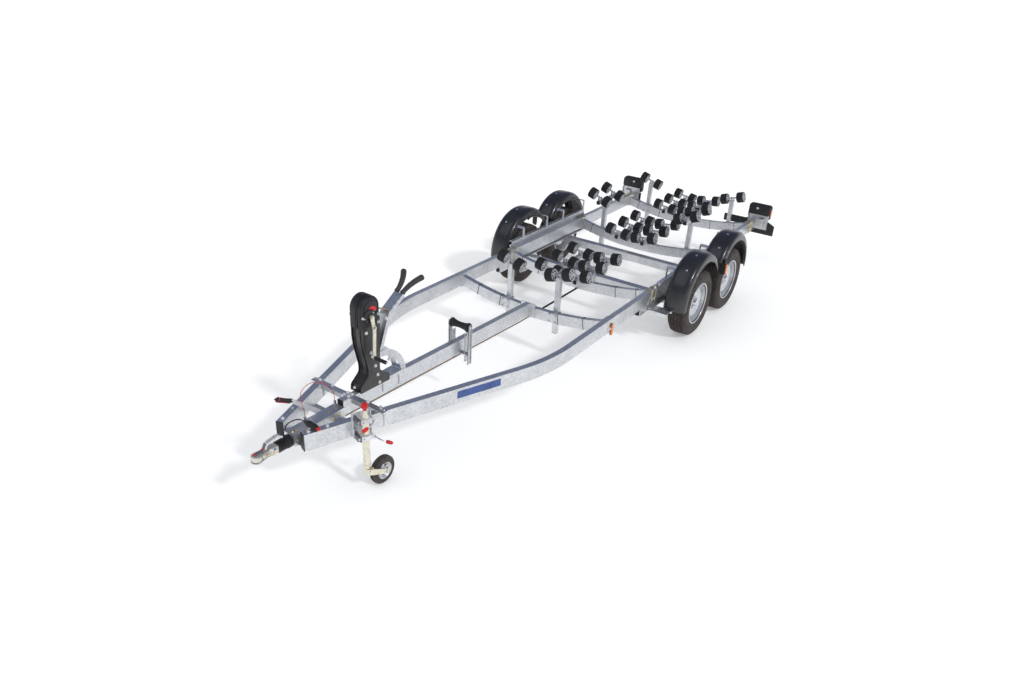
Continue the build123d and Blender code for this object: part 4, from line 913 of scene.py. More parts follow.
def tread_places(centre, x, radius, lean, count):
    """Where a row's blocks stand, facing outwards."""
    places = []
    for i in range(count):
        turn = 2 * pi * (i + (0.5 if abs(x) > 50 else 0)) / count
        out = Vector((0, cos(turn), sin(turn)))
        facing = (out * cos(radians(lean)) + Vector((sin(radians(lean)), 0, 0))).normalized()
        places.append((Vector(centre) + Vector((x, 0, 0)) + out * radius, facing, (1, 0, 0)))
    return places


class TRAILER_OT_tyres(bpy.types.Operator):
    """Make the four tyres with their tread blocks"""

    bl_idname = "trailer.tyres"
    bl_label = "Tyres"

    def execute(self, context):
        count = sizes().tread_pitches
        length = 2 * pi * tread_radius / count * block_share
        share = sizes().tread_depth / plain_tread_depth
        for name, side, centre in wheels:
            make_piece(f"tyre_casing_{name}", lambda bm: draw_casing(bm, centre), f"wheel_{name}",
                       ["tyre"], "tyre_rubber", [f"tyre_{name}"], smooth=50)
            for number, (x, width, slant, top, radius, lean) in enumerate(tread_rows, 1):
                item = item_mesh("block", draw_block(width, length, slant, top * share))
                repeated(f"tread_{name}_{number}", tread_places(centre, x, radius, lean, count),
                         item, f"wheel_{name}", "tyre", "tyre_rubber")
        return {"FINISHED"}


def draw_disc(bm, out, centre):
    """The wheel's disc from the barrel to the hub, with twelve slots cut through its ring."""
    profile = [(28, 179), (27, 172), (29, 160), (33, 158), (40, 146), (47, 136), (48.5, 126),
               (44, 114), (34, 100), (31, 90), (31, 36)]
    pierced_disc(bm, centre, (out, 0, 0), (1, 0, 0), profile, 96,
                 lambda row, cell: row in (3, 4) and cell % 8 in (2, 3, 4))


def draw_barrel(bm, centre, axis):
    outline = [(84, 192), (84, 200), (80, 203), (76, 201), (75, 192), (70, 189.5), (62, 190),
               (40, 184), (20, 182), (-40, 182), (-64, 190), (-75, 191), (-77, 201), (-84, 203),
               (-85, 192), (-74, 184), (-40, 176), (10, 175), (50, 178), (66, 184), (76, 187)]
    turned(bm, outline, centre, axis, 96)


def draw_hub(bm, centre, axis):
    """Drum behind the disc and the cap over the bearing."""
    drum = [(-22, 18.4), (-22, 112), (-18, 118), (8, 118), (12, 114), (27, 112), (27, 34), (24, 34),
            (24, 18.4)]
    turned(bm, drum, centre, axis, 64, 1)
    cap = [(26, 18.4), (26, 34), (40, 33), (44, 30), (62, 28), (66, 25), (67, 20), (67, 0.1),
           (24, 0.1), (24, 18.4)]
    turned(bm, cap, centre, axis, 40, 2)


def draw_rim(bm, side, centre):
    for draw in (draw_barrel, draw_hub):
        draw(bm, centre, (side, 0, 0))


def draw_wheel_bolt(bm):
    head = [(-2, 0.1), (-2, 12), (3, 11), (5, 9.8), (15, 9.8), (17, 8), (17, 0.1)]
    turned(bm, head, (0, 0, 0), up, hex_sides)


# The wheel bolts' number, their circle's radius, their seat along X and the turn of the first one
wheel_bolts, bolt_circle, bolt_seat, bolt_turn = 5, 56, 32, 0.3


class TRAILER_OT_rims(bpy.types.Operator):
    """Make the slotted rims, their drums, hub caps and wheel bolts"""

    bl_idname = "trailer.rims"
    bl_label = "Rims"

    def execute(self, context):
        for name, side, centre in wheels:
            body = f"wheel_{name}"
            disc = make_piece(f"wheel_disc_{name}", lambda bm: draw_disc(bm, side, centre), body,
                              ["rim"], "rim_silver", smooth=45)
            thicken(disc, 4 * mm, 0)
            make_piece(f"wheel_rim_{name}", lambda bm: draw_rim(bm, side, centre), body,
                       ["rim", "dark_steel", "zinc"], "rim_silver", [f"rim_{name}"], smooth=45)
            x, y, z = centre
            turns = [2 * pi * i / wheel_bolts + bolt_turn for i in range(wheel_bolts)]
            seat = x + side * bolt_seat
            bolts = [((seat, y + bolt_circle * cos(turn), z + bolt_circle * sin(turn)),
                      (side, 0, 0), up) for turn in turns]
            repeated(f"wheel_bolts_{name}", bolts, item_mesh("wheel_bolt", draw_wheel_bolt), body,
                     "zinc", "zinc", 1, bolt_spin)
        return {"FINISHED"}


# Mudguards
guard_crown = 430
# Half of the moulding's section from its crown to its skirt, as (x, radius) points
guard_half = [(0, guard_crown), (30, guard_crown), (50, 429.2), (65, 427), (78, 422.5), (90, 415),
              (99, 405), (105, 393), (108.5, 379), (110, 364), (110, 355), (113, 354)]
# Degrees from a guard's crown to its front and rear ends, and to the bolts on it
guard_spans = {"front": (94, 58), "rear": (58, 94)}
guard_bolt_angles = (-39, -10.5, 32)
guard_bolt_x = 1004
guard_steps = 60


def draw_guards(bm, side):
    """The front and rear moulding of one side, as open sheets."""
    section = [(-x, r) for x, r in guard_half[:0:-1]] + guard_half
    for axle, y in axle_y.items():
        front, rear = guard_spans[axle]
        rows = []
        for k in range(guard_steps + 1):
            turn = radians(-front + (front + rear) * k / guard_steps)
            points = [(side * wheel_x + x, y + r * sin(turn), guard_z + r * cos(turn))
                      for x, r in section]
            rows.append([bm.verts.new(p) for p in points])
        for low, high in zip(rows, rows[1:]):
            for i in range(len(section) - 1):
                bm.faces.new((low[i], low[i + 1], high[i + 1], high[i]))


class TRAILER_OT_mudguards(bpy.types.Operator):
    """Make the glossy mudguards with the bolts on their crowns"""

    bl_idname = "trailer.mudguards"
    bl_label = "Mudguards"

    def execute(self, context):
        dome = item_mesh("dome", draw_dome)
        for hand, side in sides_of.items():
            guards = make_piece(f"guard_mouldings_{hand}", lambda bm: draw_guards(bm, side),
                                "frame", ["guard"], "guard_plastic", [f"mudguards_{hand}"],
                                smooth=60)
            thicken(guards, sizes().guard_skin, -1)
            spots = []
            for y in axle_y.values():
                for angle in guard_bolt_angles:
                    out = Vector((0, sin(radians(angle)), cos(radians(angle))))
                    foot = Vector((side * guard_bolt_x, y, guard_z))
                    spots.append((foot + out * guard_crown, out, (1, 0, 0)))
            repeated(f"guard_bolts_{hand}", spots, dome, "frame", "zinc", "zinc")
        return {"FINISHED"}


# Small rollers, cradles and roller posts
def draw_roller(bm):
    """A barrel with chamfered shoulders and fine ribs, lying along Z."""
    half, flat, radius, groove = 37.5, 34, 60, 1.3
    ribs = sizes().roller_ribs
    outline = [(-half, 50), (-half, 56.5), (-half + 1.5, 58.6)]
    for i in range(ribs):
        step = 2 * flat / ribs
        low = -flat + i * step
        outline += [(low + 0.1 * step, radius), (low + 0.66 * step, radius),
                    (low + 0.76 * step, radius - groove), (low + step, radius - groove)]
    outline += [(half - 1.5, 58.6), (half, 56.5), (half, 50), (24, 50), (24, 22), (-24, 22),
                (-24, 50)]
    turned(bm, outline, (0, 0, 0), up, 32)


def draw_roller_hub(bm):
    """Silver hub with spokes and a rim in both ends of a roller."""
    sleeve = [(-38, 13), (-39.5, 13.6), (-39.5, 16), (-37.5, 16.8), (37.5, 16.8), (39.5, 16),
              (39.5, 13.6), (38, 13)]
    turned(bm, sleeve, (0, 0, 0), up, 24)
    rim = [(30, 44.5), (37.4, 45), (38.2, 46.2), (38.2, 49.4), (37.2, 50.4), (30, 50.4)]
    count = sizes().hub_spokes
    for end in (1, -1):
        turned(bm, [(end * s, r) for s, r in rim[::end]], (0, 0, 0), up, 32)
        for i in range(count):
            made = block(bm, (15, 46), (-2.8, 2.8), sorted((end * 29, end * 36.6)))
            bmesh.ops.transform(bm, matrix=Matrix.Rotation(2 * pi * i / count, 4, "Z"), verts=made)


def pair_way(tilt):
    """The way that a pair's rod points, its outer end higher."""
    return Vector((cos(radians(tilt)), 0, sin(radians(tilt))))


def draw_pair_steel(bm, x, y, z, half, tilt, base_z):
    """The axle rod with its washers and nuts, and the folded bracket that carries it."""
    middle, way = Vector((x, y, z)), pair_way(tilt)
    reach, thick = half + 44, 4
    rod(bm, middle - way * reach, middle + way * reach, 9.5, 18)
    # start along the rod, length, radius and sides: two washers and a nut
    ends = ((half - 42, 3, 17, 20), (half + 38.5, 2.5, 17, 20), (half + 41, 9, 14, hex_sides))
    for side in (-1, 1):
        for start, length, radius, count in ends:
            a = middle + way * (side * start)
            rod(bm, a, a + way * (side * length), radius, count)
    face = [(y - 17, base_z), (y + 17, base_z), (y + 17, z), (y + 9, z + 13), (y - 9, z + 13),
            (y - 17, z)]
    for side in (-1, 1):
        side_plate(bm, face, x + side * 15 - thick / 2, thick)
    block(bm, (x - 17, x + 17), (y - 17, y + 17), (base_z, base_z + thick))


def roller_places(pairs, side):
    """Where the small rollers of one side stand, along their pair's rod."""
    spots = []
    for x, y, z, half, tilt in pairs:
        way = pair_way(tilt)
        for reach in (-half, half):
            centre = Vector((x, y, z)) + way * reach
            spots.append((Vector((centre.x * side, centre.y, centre.z)), (way.x * side, 0, way.z),
                          (0, 1, 0)))
    return spots


def add_rollers(name, pairs, hand, body):
    """Barrels and hubs of roller pairs, each as one piece on a body."""
    hands = [hand] if hand else sides_of
    spots = [spot for h in hands for spot in roller_places(pairs, sides_of[h])]
    for part, draw, slot in (("barrel", draw_roller, "roller_rubber"),
                             ("hub", draw_roller_hub, None)):
        look = "roller" if part == "barrel" else part
        repeated(f"{name}_{part}s", spots, item_mesh(part, draw, 30), body, look, slot, 1,
                 full_spin)


# name, x, y, z, roller pairs along Y, half a pair's width and its tilt
cradle_rows = [(f"cradle_{n}", 152.5, beam_y[n] + 25, 585, (-295, 0, 295), 93.7, 9.2)
               for n in "234"]
cradle_rows.append(("side_cradle", 512, 1919, 842, (-150, 150), 92, 20))


def draw_cradle(bm, x, y, z, places, half, tilt):
    """A square rocking tube with a black cap in each end and a bracket under each pair."""
    bar_z = z - 52
    reach = places[-1] + 34
    block(bm, (x - 18, x + 18), (y - reach, y + reach), (bar_z - 20, bar_z + 20))
    for way in (-1, 1):
        end = y + way * reach
        span = sorted((end, end + way * 5))
        block(bm, (x - 18.6, x + 18.6), span, (bar_z - 20.6, bar_z + 20.6), 1)
    for spot in places:
        draw_pair_steel(bm, x, y + spot, z, half, tilt, bar_z + 20)
    for way in (-1, 1):
        rod(bm, (x + way * 18, y, bar_z), (x + way * 21, y, bar_z), 13, 20)


class TRAILER_OT_cradles(bpy.types.Operator):
    """Make the rocking cradles on beams 2, 3 and 4 and on the side posts"""

    bl_idname = "trailer.cradles"
    bl_label = "Roller cradles"

    def execute(self, context):
        for name, x, y, z, places, half, tilt in cradle_rows:
            for hand in sides_of:
                node = f"{name}_{hand}"

                def draw(bm):
                    draw_cradle(bm, x, y, z, places, half, tilt)
                    if hand == "right":
                        flip(bm, bm.verts)

                make_piece(f"{node}_steel", draw, node, ["galvanised", "plastic"], "galvanised",
                           [node], 1.2)
                add_rollers(node, [(x, y + spot, z, half, tilt) for spot in places], hand, node)
        return {"FINISHED"}


post_rows = (
    # node, beam, x, z, half, tilt
    ("bow_roller_posts", "1", 252, 780, 90, 15),
    ("stern_roller_posts", "4", 520, 755, 95, 17),
)


def beam_line(x):
    """Height of a bowed beam's top at a distance x from the middle."""
    return 430 + beam_bow_radius - sqrt(beam_bow_radius**2 - x**2)


def draw_post(bm, x, y, z, half, tilt):
    """A square tube with a black cap below and a roller pair's bracket on top."""
    foot, head = beam_line(x - 22) - 210, z - 26
    block(bm, (x - 22, x + 22), (y - 22, y + 22), (foot, head))
    block(bm, (x - 22.6, x + 22.6), (y - 22.6, y + 22.6), (foot - 4, foot), 1)
    draw_pair_steel(bm, x, y, z, half, tilt, head)


class TRAILER_OT_roller_posts(bpy.types.Operator):
    """Make the posts behind beams 1 and 4 with their roller pairs"""

    bl_idname = "trailer.roller_posts"
    bl_label = "Roller posts"

    def execute(self, context):
        for node, beam, x, z, half, tilt in post_rows:
            pair = (x, beam_y[beam] + 72, z, half, tilt)
            make_piece(f"{node}_steel", both_sides(lambda bm: draw_post(bm, *pair)), "frame",
                       ["galvanised", "plastic"], "galvanised", [node], 1.2)
            add_rollers(node, [pair], None, "frame")
        return {"FINISHED"}


# Clamps, bolts and ties on the frame, and the blank plate on the near drawbar leg
def leg_face(y):
    """Outer face of the drawbar leg at a given y, in x."""
    return 133 + (y + 3108) * (sin(drawbar_lean) / cos(drawbar_lean))


def keel_line(y):
    """Height of the keel beam's top at a given y."""
    return 540 - (y + 2678) * 70 / 2290


def rail_bolt_places():
    """Bolt heads on the frame: (point, facing) for the left side."""
    spots = [((leg_face(y) - 27, y, rail_top), (0, 0, 1)) for y in (-3070, -2950)]
    spots += [((rail_out, beam_y[n] + shift, 452), (1, 0, 0)) for n in "124" for shift in (10, 40)]
    spots += [((x, y, 549), (0, 0, 1)) for x, y in ((20, -2590), (20, -2622), (168, -2590),
                                                    (290, -2590))]
    spots += [(spot, (0, -1, 0)) for spot in ((800, 3210, 672), (746, 3222, 470), (746, 3222, 560))]
    spots += [((744, beam_y[n] + 66, z), (-1, 0, 0)) for n in "1234" for z in (480, 516)]
    spots += [((46, y, z), (1, 0, 0)) for y, z in ((-2103, 575), (-2246, 690))]
    return spots + [((806, y, z), (1, 0, 0)) for y, z in ((480, 560), (560, 560), (1960, 560),
                                                          (2020, 470))]


def draw_u_bolt(bm):
    """A round U-bolt over a rail's top, 50 wide and 120 deep, its crown at z 0."""
    r, gap, depth = 5, 29, 128
    path = [(-gap, 0, -depth), (-gap, 0, -8)]
    path += [(-gap + 8 - 8 * cos(a), 0, -8 + 8 * sin(a)) for a in (0.4, 0.8, 1.2)]
    path += [(gap - 8 + 8 * cos(a), 0, -8 + 8 * sin(a)) for a in (1.2, 0.8, 0.4)]
    path += [(gap, 0, -8), (gap, 0, -depth)]
    bar(bm, path, r, 10)


def draw_tie(bm):
    """A cable tie round a 50 by 95 beam, in the plane across it."""
    w, h, t = 26, 48.5, 1.4
    for low, high in (((-w - t, -h - t), (w + t, -h)), ((-w - t, h), (w + t, h + t))):
        block(bm, (low[0], high[0]), (-2.4, 2.4), (low[1], high[1]))
    for x in (-w - t, w):
        block(bm, (x, x + t), (-2.4, 2.4), (-h - t, h + t))
    block(bm, (w - 3, w + 3.5), (-4, 4), (h - 6, h + 4))


def draw_blank_plate(bm):
    """A blank blue plate with a thin white edge on the near drawbar leg's outer face."""
    ends, heights = (-2069, -1714), (456, 525)
    way = Vector((130, ends[1] - ends[0], 0)).normalized()
    out = Vector((way.y, -way.x, 0))
    for inset, depth, slot in ((0, 0.8, 0), (5, 1.4, 1)):
        y0, y1 = ends[0] + inset, ends[1] - inset
        low, high = heights[0] + inset, heights[1] - inset
        corners = [(leg_face(y), y, z) for y, z in ((y0, low), (y1, low), (y1, high), (y0, high))]
        plate(bm, corners, (0, 0, 0), out * depth, slot)


class TRAILER_OT_fasteners(bpy.types.Operator):
    """Make the bolts, U-bolts and ties, and the blank plate on the near drawbar leg"""

    bl_idname = "trailer.fasteners"
    bl_label = "Fasteners of the frame"

    def execute(self, context):
        scale = sizes().bolt_size / plain_bolt_size
        spots = [((side * x, y, z), (side * a, b, c), (1, 0, 0) if c else up)
                 for (x, y, z), (a, b, c) in rail_bolt_places() for side in (1, -1)]
        post = ((-2463, 976), (-2427, 815), (-2416, 782), (-2388, 698), (-2369, 620), (-2353, 553))
        arm = ((-2232, 1005), (-2262, 1010), (-2180, 1065), (-2140, 1090))
        spots += [*flank_places(50, post), ((-22, -2522, 558), (0, -1, 0), (0, 0, 1))]
        spots += flank_places(44, arm, (1,))
        repeated("frame_bolts", spots, item_mesh("bolt", draw_bolt), "frame", "bright_steel",
                 "zinc", scale, bolt_spin)
        clamps = [((side * 775, beam_y[n] + shift, rail_top + 6), (0, 0, 1), (1, 0, 0))
                  for n in "234" for shift in (-14, 64) for side in (1, -1)]
        u_bolt = item_mesh("u_bolt", draw_u_bolt, 60)
        repeated("rail_u_bolts", clamps, u_bolt, "frame", "yellow_zinc", "zinc")
        clamps = [((side * (leg_face(-2588) - 27), -2588, 555), (0, 0, 1),
                   (side * cos(drawbar_lean), -sin(drawbar_lean), 0)) for side in (1, -1)]
        clamps += [((0, y, keel_line(y) + 34), (0, 0, 1), (1, 0, 0)) for y in (-2294, -2126)]
        repeated("drawbar_u_bolts", clamps, u_bolt, "frame", "zinc", "zinc")
        ties = []
        for n, xs in (("1", (310, 560)), ("2", (430, 640)), ("3", (620,)), ("4", (330, 620))):
            for x in xs:
                for side in (1, -1):
                    slope = atan2(x, beam_bow_radius)
                    way = Vector((side * cos(slope), 0, sin(slope)))
                    spot = (side * x, beam_y[n] + 25, beam_line(x) - 47.5)
                    ties.append((spot, way.cross((0, 1, 0)) * -side, (0, 1, 0)))
        repeated("beam_ties", ties, item_mesh("tie", draw_tie), "frame", "plastic", "black_plastic")
        make_piece("blank_plate", draw_blank_plate, "frame", ["white", "blue"], None)
        return {"FINISHED"}


# Winch: its post, its cover with the nuts on it, and the crank
cover_centre = (-2419, 1141)
cover_radius, cover_low_z = 88, 1012
cover_half_width = 55


def draw_post_shell(bm):
    """Two side plates over the keel beam with a set-back front wall and two pressed ribs."""
    front = [(-2533, 536), (-2533, 582), (-2452, 648), (-2452, 700), (-2492, 860), (-2503, 940),
             (-2503, 1064)]
    rear = [(-2330, 1064), (-2330, 900), (-2342, 700), (-2342, 645), (-2250, 584), (-2250, 528)]
    edge = eased([Vector((0, y, z)) for y, z in front + rear], 18)
    for x in (46, -50):
        side_plate(bm, [(v.y, v.z) for v in edge], x, 4)
    wall = [Vector((0, y + 13, z)) for y, z in front]
    strip(bm, eased(wall, 20), 92, 4)
    for x in (-26, 22):
        bar(bm, eased([v + Vector((x, -3, 0)) for v in wall], 20), 4.5, 8)
    bar(bm, eased([Vector((49.4, y + 27, z + 6)) for y, z in front[1:]], 20), 2.2, 6)
    strip(bm, [Vector((0, y, keel_line(y) + 4)) for y in (-2530, -2253)], 92, 7)


def cover_loop(x, inset):
    """The cover's outline at a given x: a round top on straight sides."""
    radius, y = cover_radius - inset, cover_centre[0]
    arc = [(x, *point) for point in arc_points(cover_centre, radius, 0, 180, 21)]
    return [(x, y + radius, cover_low_z), *arc, (x, y - radius, cover_low_z)]


def draw_cover(bm):
    """A moulded shell with a rim round its middle, rings on its face and a red half-disc."""
    rims = [(-55, 28), (-55, 10), (-53, 5), (-49, 1.5), (-43, 0), (0, 0), (1, 3), (7, 3), (8, 0),
            (15, 0), (16, 5), (20, 5), (21, 1.5), (42, 2), (48, 4.5), (52.5, 8), (55, 13), (55, 28)]
    loft(bm, [cover_loop(x, inset) for x, inset in rims])
    ring_outline = [(-1, 65), (3, 66), (4, 69), (3, 72), (-1, 73)]
    dish = [(-1, 0.1), (-1, 60), (3, 59), (5, 55), (5, 0.1)]
    for side in (-1, 1):
        for outline in (ring_outline, dish):
            turned(bm, outline, (cover_half_width * side, *cover_centre), (side, 0, 0), 60)
    y, z = cover_centre[0] + 6, cover_centre[1] - 22
    half = arc_points((y, z), 40, 2, 178, 25)
    small = arc_points((y, z), 14, 178, 2, 9)
    side_plate(bm, half + small, 59, 3.5, 1)
    for angle in range(40, 141, 25):
        turn = radians(angle)
        a, b = y + 31 * cos(turn), z + 31 * sin(turn)
        side_plate(bm, capsule((a, b), (a + 4 * cos(turn), b + 4 * sin(turn)), 2, 2, 4), 62, 1, 1)
    boss = [(50.3, 0.1), (50.3, 52), (65, 52), (69, 49), (71, 44), (71, 28), (69, 26), (69, 0.1)]
    turned(bm, boss, (0, crank_y, crank_z), (1, 0, 0), 56)


def draw_crank(bm):
    """Short arm and long bar bolted together, with a grooved grip on a bright pin."""
    y, low_z, knee = crank_y, 797, (-2430, 1018)
    rod(bm, (71.3, y, crank_z), (93, y, crank_z), 11, 24)
    rod(bm, (92, y, crank_z), (101, y, crank_z), 12, hex_sides)
    side_plate(bm, capsule((y, crank_z), knee, 16, 14), 84, 8)
    side_plate(bm, capsule(knee, (y, low_z), 14, 13), 92, 8)
    rod(bm, (100, *knee), (108, *knee), 10.5, hex_sides, 2)
    rod(bm, (100, *knee), (112, *knee), 5, 12, 2)
    grip = [(0, 5), (0, 12), (2, 13.4)]
    for i in range(7):
        grip += [(8 + 13 * i, 13.8), (11 + 13 * i, 12.6)]
    grip += [(100, 13.6), (104, 11.5), (104, 5)]
    turned(bm, grip, (101, y, low_z), (1, 0, 0), 24, 1)
    rod(bm, (98, y, low_z), (209, y, low_z), 5, 14, 2)
    rod(bm, (205.5, y, low_z), (209, y, low_z), 8.5, 18, 2)


class TRAILER_OT_winch(bpy.types.Operator):
    """Make the winch's post, its cover with nuts and the crank with its grip"""

    bl_idname = "trailer.winch"
    bl_label = "Winch"

    def execute(self, context):
        make_piece("post_shell", draw_post_shell, "frame", ["black_paint"], "black_paint",
                   ["winch_post"], 0.6)
        make_piece("winch_shell", draw_cover, "frame", ["plastic", "red"], "black_plastic",
                   ["winch_cover"], smooth=30)
        make_piece("crank_bars", draw_crank, "winch_crank", ["cream_zinc", "plastic", "zinc"],
                   "zinc", ["winch_crank"], 0.8)
        y, z = cover_centre
        spots = [((60, y + 6, z - 24), (1, 0, 0), (0, 0, 1))]
        spots += flank_places(cover_half_width, ((-2488, 1093), (-2349, 1084), (-2352, 1024)))
        repeated("winch_nuts", spots, item_mesh("nut", draw_nut), "frame", "zinc", "zinc", 1,
                 bolt_spin)
        return {"FINISHED"}


# Coupling: ribbed handle with its buttons, head, bellows and housing bolts
def draw_handle(bm):
    """Arched lifting handle with grip ribs, and a red button at each end of its foot."""
    corners = [(0, -3399, 490), (0, -3345, 490), (0, -3324, 498), (0, -3312, 526), (0, -3216, 541),
               (0, -3190, 520)]
    ribs = 9
    strip(bm, eased(corners, 10), 26, 7, 2)
    low, high = Vector(corners[3]), Vector(corners[4])
    way = (high - low).normalized()
    rise = Vector((0, -way.z, way.y))
    for i in range(ribs):
        spot = low + (high - low) * ((i + 0.5) / ribs) + rise * 4.5
        rod(bm, spot - Vector((14, 0, 0)), spot + Vector((14, 0, 0)), 3.4, 8)
    for side in (-1, 1):
        path = [Vector((side * 15, y, z - 2)) for _, y, z in corners[2:]]
        strip(bm, eased(path, 10), 4.5, 13)
    for y, z in ((-3399, 494), (-3334, 495)):
        turned(bm, [(0, 0.1), (0, 8), (3, 8), (6, 6), (7.5, 3), (8, 0.1)], (0, y, z), up, 20, 1)


def draw_head(bm):
    """The casting's cup, neck and sleeve, with ribs, a dark lip and a blue wear mark."""
    cup = [(438, 28), (438, 35), (442, 36.5), (474, 36.5), (480, 34), (483, 29), (483, 0.1),
           (475, 0.1), (472, 12), (462, 22), (452, 27)]
    turned(bm, cup, (0, ball_y, 0), up, 44)
    lip = [(435, 28.5), (435, 33), (438, 36.5), (448, 37.6), (451, 35.5), (440, 30)]
    turned(bm, lip, (0, ball_y, 0), up, 44, 2)
    neck = ((-3358, 31.5, 440, 481), (-3350, 31, 440, 481), (-3325, 27.5, 442, 482),
            (-3300, 27, 441, 484), (-3289, 28.5, 437, 487), (-3285, 30.5, 430, 489),
            (-3262, 30.5, 430, 489), (-3238, 29, 431, 486))
    loft(bm, [[(x, y, z) for x, z in rounded_outline((-w, w), (low, high), 9)]
              for y, w, low, high in neck])
    for side in (-1, 1):
        for z in (445, 475):
            path = [(side * x, y, z) for x, y in ((35, -3398), (37.5, -3380), (28.5, -3320),
                                                  (28, -3290))]
            bar(bm, eased(path, 6, 4), 2.6, 8)
        bar(bm, [(side * 30, -3340, 460), (side * 28, -3292, 460)], 4.5, 10)
    turned(bm, [(0, 25.4), (0, 31.5), (3, 32.5), (9, 32.5), (12, 31), (12, 25.4)],
           (0, -3250, coupling_z), (0, 1, 0), 40)
    block(bm, (30, 31.2), (-3277, -3256), (469, 482), 1)
    block(bm, (-13, 13), (-3392, -3342), (483, 487), 2)


def draw_bellows(bm):
    start, pitch, folds = -3236, 16.5, 4
    outline = [(0, 25.4), (0, 32)]
    for i in range(folds):
        outline += [(pitch * i + s, r) for s, r in ((2, 31), (5, 37), (9, 40.5), (12.5, 37),
                                                    (15.5, 32))]
    outline += [(69, 34), (72, 41), (77, 44), (98, 44), (104, 42), (110, 39), (110, 25.4)]
    turned(bm, outline, (0, start, coupling_z), (0, 1, 0), 44)


class TRAILER_OT_coupling(bpy.types.Operator):
    """Make the coupling's head, handle and bellows, and the bolts round it"""

    bl_idname = "trailer.coupling"
    bl_label = "Coupling"

    def execute(self, context):
        make_piece("bellows_folds", draw_bellows, "frame", ["plastic"], "black_plastic",
                   ["bellows"], smooth=30)
        make_piece("handle_ribs", draw_handle, "frame", ["bright_steel", "red", "dark_steel"],
                   "zinc", ["coupling_handle"], smooth=30)
        make_piece("head_casting", draw_head, "frame", ["cast", "blue", "dark_steel"], "cast_zinc",
                   ["coupling_head"], smooth=30)
        spots = [((0, y, 504), (0, 0, 1), (1, 0, 0)) for y in (-3098, -3070, -2792, -2722)]
        for side in (1, -1):
            spots += flank_places(30, ((-3327, 467), (-3274, 452)), (side,))
            spots += flank_places(46, ((-2800, 470), (-2740, 478), (-3096, 462)), (side,))
        repeated("coupling_bolts", spots, item_mesh("bolt", draw_bolt), "frame", "yellow_zinc",
                 "zinc", 0.8, bolt_spin)
        return {"FINISHED"}


# Handbrake lever, drawn along its own length: X, along the lever, across it
lever_slope = radians(40.5)
grip_bend_start, grip_bend_slope = 300, 0.19


def oval(centre, size_x, size_z, count=24):
    """An upright oval round a point, square to Y."""
    angles = [2 * pi * i / count for i in range(count)]
    return [(size_x * cos(a), centre, size_z * sin(a)) for a in angles]


def draw_lever(bm):
    """A folded channel with a black grip, its red trim and a black button, raised to its slope."""
    for side in (-1, 1):
        side_plate(bm, capsule((0, -2), (298, 2), 18, 13), side * 12 - 1.6, 3.2)
    block(bm, (-12, 12), (20, 300), (-8, -5))
    block(bm, (-3, 3), (40, 292), (-5, 2))
    rod(bm, (-12, 0, 0), (36, 0, 0), 9, 20)
    rod(bm, (-14, 0, 0), (-8, 0, 0), 14, hex_sides, 3)
    sections = [(292, 11, 12), (296, 14, 15), (312, 14.5, 16), (340, 13, 14.5), (372, 13.5, 15),
                (402, 15, 16.5), (416, 15, 16), (421, 12, 13)]
    loft(bm, [oval(*section) for section in sections], 1)
    loft(bm, [oval(along, 15.4, 17.8) for along in (412, 417)], 2)
    path = [(0, 306, -15.6), (0, 340, -14.2), (0, 372, -14.7), (0, 412, -16)]
    bar(bm, path, [4.5, 5, 5, 4.5], 10, 2)
    button = [(0, 0.1), (0, 12), (6, 9.5), (14, 7), (19, 4), (19, 0.1)]
    turned(bm, button, (0, 420, 0), (0, 1, 0), 18, 1)
    for v in bm.verts:
        if v.co.y > grip_bend_start:
            v.co.z -= grip_bend_slope * (v.co.y - grip_bend_start)
    turn = lever_slope
    stood(bm, (-82, -2794, 470), (1, 0, 0), (0, -cos(turn), sin(turn)), (0, sin(turn), cos(turn)))


class TRAILER_OT_handbrake(bpy.types.Operator):
    """Make the handbrake's channel, grip, trim and button"""

    bl_idname = "trailer.handbrake"
    bl_label = "Handbrake"

    def execute(self, context):
        make_piece("brake_lever", draw_lever, "frame", ["bright_steel", "plastic", "red", "zinc"],
                   "galvanised", ["handbrake_lever"], 0.5, 40)
        return {"FINISHED"}


# Jockey wheel: tube, fork, wheel and the clamp on the near rail
def draw_knob(bm, x, y, z):
    """A star knob with six lobes."""
    loops = []
    for height, size in ((0, 10), (12, 10.5), (18, 18), (26, 22.5), (40, 23), (48, 19.5), (53, 10),
                         (54, 0.5)):
        lobed = [(size * (1 + 0.09 * cos(6 * a)), a) for a in [2 * pi * i / 48 for i in range(48)]]
        loops.append([(x + r * cos(a), y + r * sin(a), z + height) for r, a in lobed])
    loft(bm, loops, 1)


def draw_jockey_tube(bm):
    place = (jockey_x, jockey_y, 0)
    tube = [(232, 21.6), (232, 24), (236, 24), (598, 24), (604, 23.4), (614, 18.5), (634, 13.5),
            (644, 12.5), (644, 0.1), (304, 0.1), (304, 21.6)]
    turned(bm, tube, place, up, 40)
    turned(bm, [(584, 20), (584, 27), (594, 27), (597, 25), (597, 20)], place, up, 32)
    draw_knob(bm, jockey_x, jockey_y, 642)


